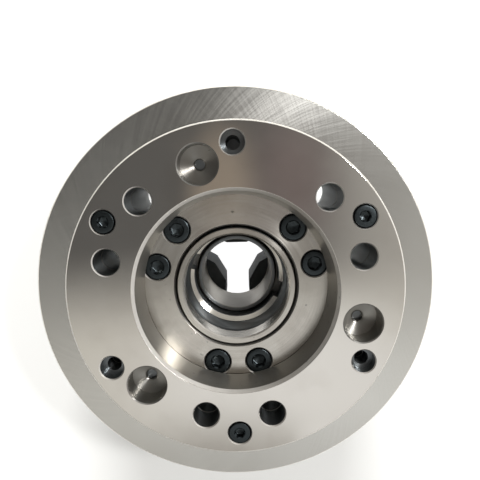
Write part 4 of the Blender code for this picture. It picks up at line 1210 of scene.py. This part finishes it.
def oval(tree, way, middle, reach, softness):
    """1 on an oval of directions, where (way - middle) / reach is shorter than 1, with a soft edge."""
    off = add_node(tree, "ShaderNodeVectorMath", {0: way, 1: (*middle, 0)}, operation="SUBTRACT")
    share = add_node(tree, "ShaderNodeVectorMath", {0: off, 1: (1 / reach[0], 1 / reach[1], 0)},
                     operation="MULTIPLY")
    away = add_node(tree, "ShaderNodeVectorMath", {0: share}, operation="LENGTH")
    return smooth(tree, away, 1 + softness, 1 - softness)


def make_world(stage):
    """The studio that the steel mirrors, laid out by x and y of the unit direction to it: a dim ceiling,
    lighter screens to the right and in front, two boards near the zenith and pale walls. Each later screen
    or board covers the ones before it. The camera sees white."""
    world = bpy.data.worlds.new("studio")
    world.use_nodes = True
    tree = world.node_tree
    tree.nodes.clear()
    way = add_node(tree, "ShaderNodeTexCoord").outputs["Generated"]
    x, y, z = add_node(tree, "ShaderNodeSeparateXYZ", {"Vector": way}).outputs
    sky = mixed(tree, smooth(tree, x, 0.05, 0.32), stage.ceiling, stage.side_screen)
    for cover, tone in (
        (smooth(tree, y, 0.40, 0.60), stage.front_screen),
        (oval(tree, way, (-0.030, -0.045), (0.060, 0.130), 0.5), stage.warm_board),
        (oval(tree, way, (0.105, 0.000), (0.070, 0.110), 0.8), stage.plum_board),
        (smooth(tree, y, -0.12, -0.32), stage.front_screen),
        (oval(tree, way, (0.08, -0.37), (0.26, 0.13), 0.6), WHITE),
        (oval(tree, way, (-0.04, -0.60), (0.28, 0.15), 0.4), stage.side_screen),
        (oval(tree, way, (0.14, -0.48), (0.045, 0.035), 0.3), WHITE),
    ):
        sky = mixed(tree, cover, sky, tone)
    wall = mixed(tree, smooth(tree, x, -0.5, 0.4), stage.left_wall, WHITE)
    studio = mixed(tree, smooth(tree, z, 0.75, 0.35), sky, wall)
    seen = add_node(tree, "ShaderNodeLightPath").outputs["Is Camera Ray"]
    shown = mixed(tree, seen, studio, WHITE)
    shader = add_node(tree, "ShaderNodeBackground", {"Color": shown, "Strength": 1.0})
    add_node(tree, "ShaderNodeOutputWorld", {"Surface": shader})
    bpy.context.scene.world = world


def add_lamp(name, place, size, power, mirrored):
    """A square lamp that looks at the chuck. The camera doesn't see it; the steel does if it is mirrored."""
    lamp = bpy.data.lights.new(name, "AREA")
    lamp.energy = power
    lamp.size = size
    holder = bpy.data.objects.new(name, lamp)
    bpy.context.scene.collection.objects.link(holder)
    holder.location = place
    aim = Vector((0, 0, PLATE_FACE)) - Vector(place)
    holder.rotation_euler = aim.to_track_quat("-Z", "Y").to_euler()
    holder.visible_camera = False
    holder.visible_glossy = mirrored


class CHUCK_OT_stage(bpy.types.Operator):
    """Make the floor, the lamps, the surroundings and the camera"""
    bl_idname = "chuck.stage"
    bl_label = "Stage"

    def execute(self, context):
        stage = context.scene.chuck_stage
        reach = stage.floor_reach
        card = prism("floor_card", [(-reach, -reach), (reach, -reach), (reach, reach), (-reach, reach)],
                     -stage.floor_depth, -stage.floor_drop, "card")
        make_world(stage)
        add_lamp("key", stage.key_place, stage.key_size, stage.key_power, False)
        add_lamp("glint", stage.glint_place, stage.glint_size, stage.glint_power, True)
        camera = bpy.data.cameras.new("camera")
        camera.lens = stage.focal
        camera.sensor_width = 36
        camera.shift_x = stage.shift_x
        camera.shift_y = stage.shift_y
        camera.clip_start = 0.01
        holder = bpy.data.objects.new("camera", camera)
        context.scene.collection.objects.link(holder)
        lean = Matrix.Rotation(-stage.camera_yaw, 4, "Y") @ Matrix.Rotation(-stage.camera_pitch, 4, "X")
        above = Matrix.Translation(Vector(stage.camera_place))
        holder.matrix_world = (Matrix.Translation((0, 0, PLATE_FACE))
                               @ Matrix.Rotation(-stage.chuck_turn, 4, "Z") @ above @ lean)
        context.scene.camera = holder
        context.scene.view_settings.view_transform = "Standard"
        return {"FINISHED"}


class CHUCK_PT_panel(bpy.types.Panel):
    """Lists the operators that make the chuck's pieces and its stage"""
    bl_idname = "CHUCK_PT_panel"
    bl_label = "Power chuck"
    bl_space_type = "VIEW_3D"
    bl_region_type = "UI"
    bl_category = "Chuck"

    def draw(self, context):
        for operator in OPERATORS:
            self.layout.operator(operator.bl_idname)


OPERATORS = (
    CHUCK_OT_stage, CHUCK_OT_back_plate, CHUCK_OT_chuck_body, CHUCK_OT_guide_ring, CHUCK_OT_draw_nut,
    CHUCK_OT_retaining_ring, CHUCK_OT_plunger, CHUCK_OT_front_bush, CHUCK_OT_cap_screws, CHUCK_OT_soft_jaws,
    CHUCK_OT_master_jaws, CHUCK_OT_t_nuts, CHUCK_OT_grease_nipples,
)
GROUPS = {"chuck_sizes": ChuckSizes, "chuck_finishes": ChuckFinishes, "chuck_stage": ChuckStage}


def register():
    for name, group in GROUPS.items():
        bpy.utils.register_class(group)
        setattr(bpy.types.Scene, name, PointerProperty(type=group))
    for kind in (*OPERATORS, CHUCK_PT_panel):
        bpy.utils.register_class(kind)


def unregister():
    for kind in (CHUCK_PT_panel, *OPERATORS[::-1]):
        bpy.utils.unregister_class(kind)
    for name, group in GROUPS.items():
        delattr(bpy.types.Scene, name)
        bpy.utils.unregister_class(group)


def corners(box):
    return [[float(value) for value in corner] for corner in box]


def main():
    register()
    bpy.ops.chuck.stage()
    bpy.ops.chuck.back_plate()
    bpy.ops.chuck.chuck_body()
    bpy.ops.chuck.guide_ring()
    bpy.ops.chuck.draw_nut()
    bpy.ops.chuck.retaining_ring()
    bpy.ops.chuck.plunger()
    bpy.ops.chuck.front_bush()
    bpy.ops.chuck.cap_screws()
    bpy.ops.chuck.soft_jaws()
    bpy.ops.chuck.master_jaws()
    bpy.ops.chuck.t_nuts()
    bpy.ops.chuck.grease_nipples()


if __name__ == "__main__":
    main()
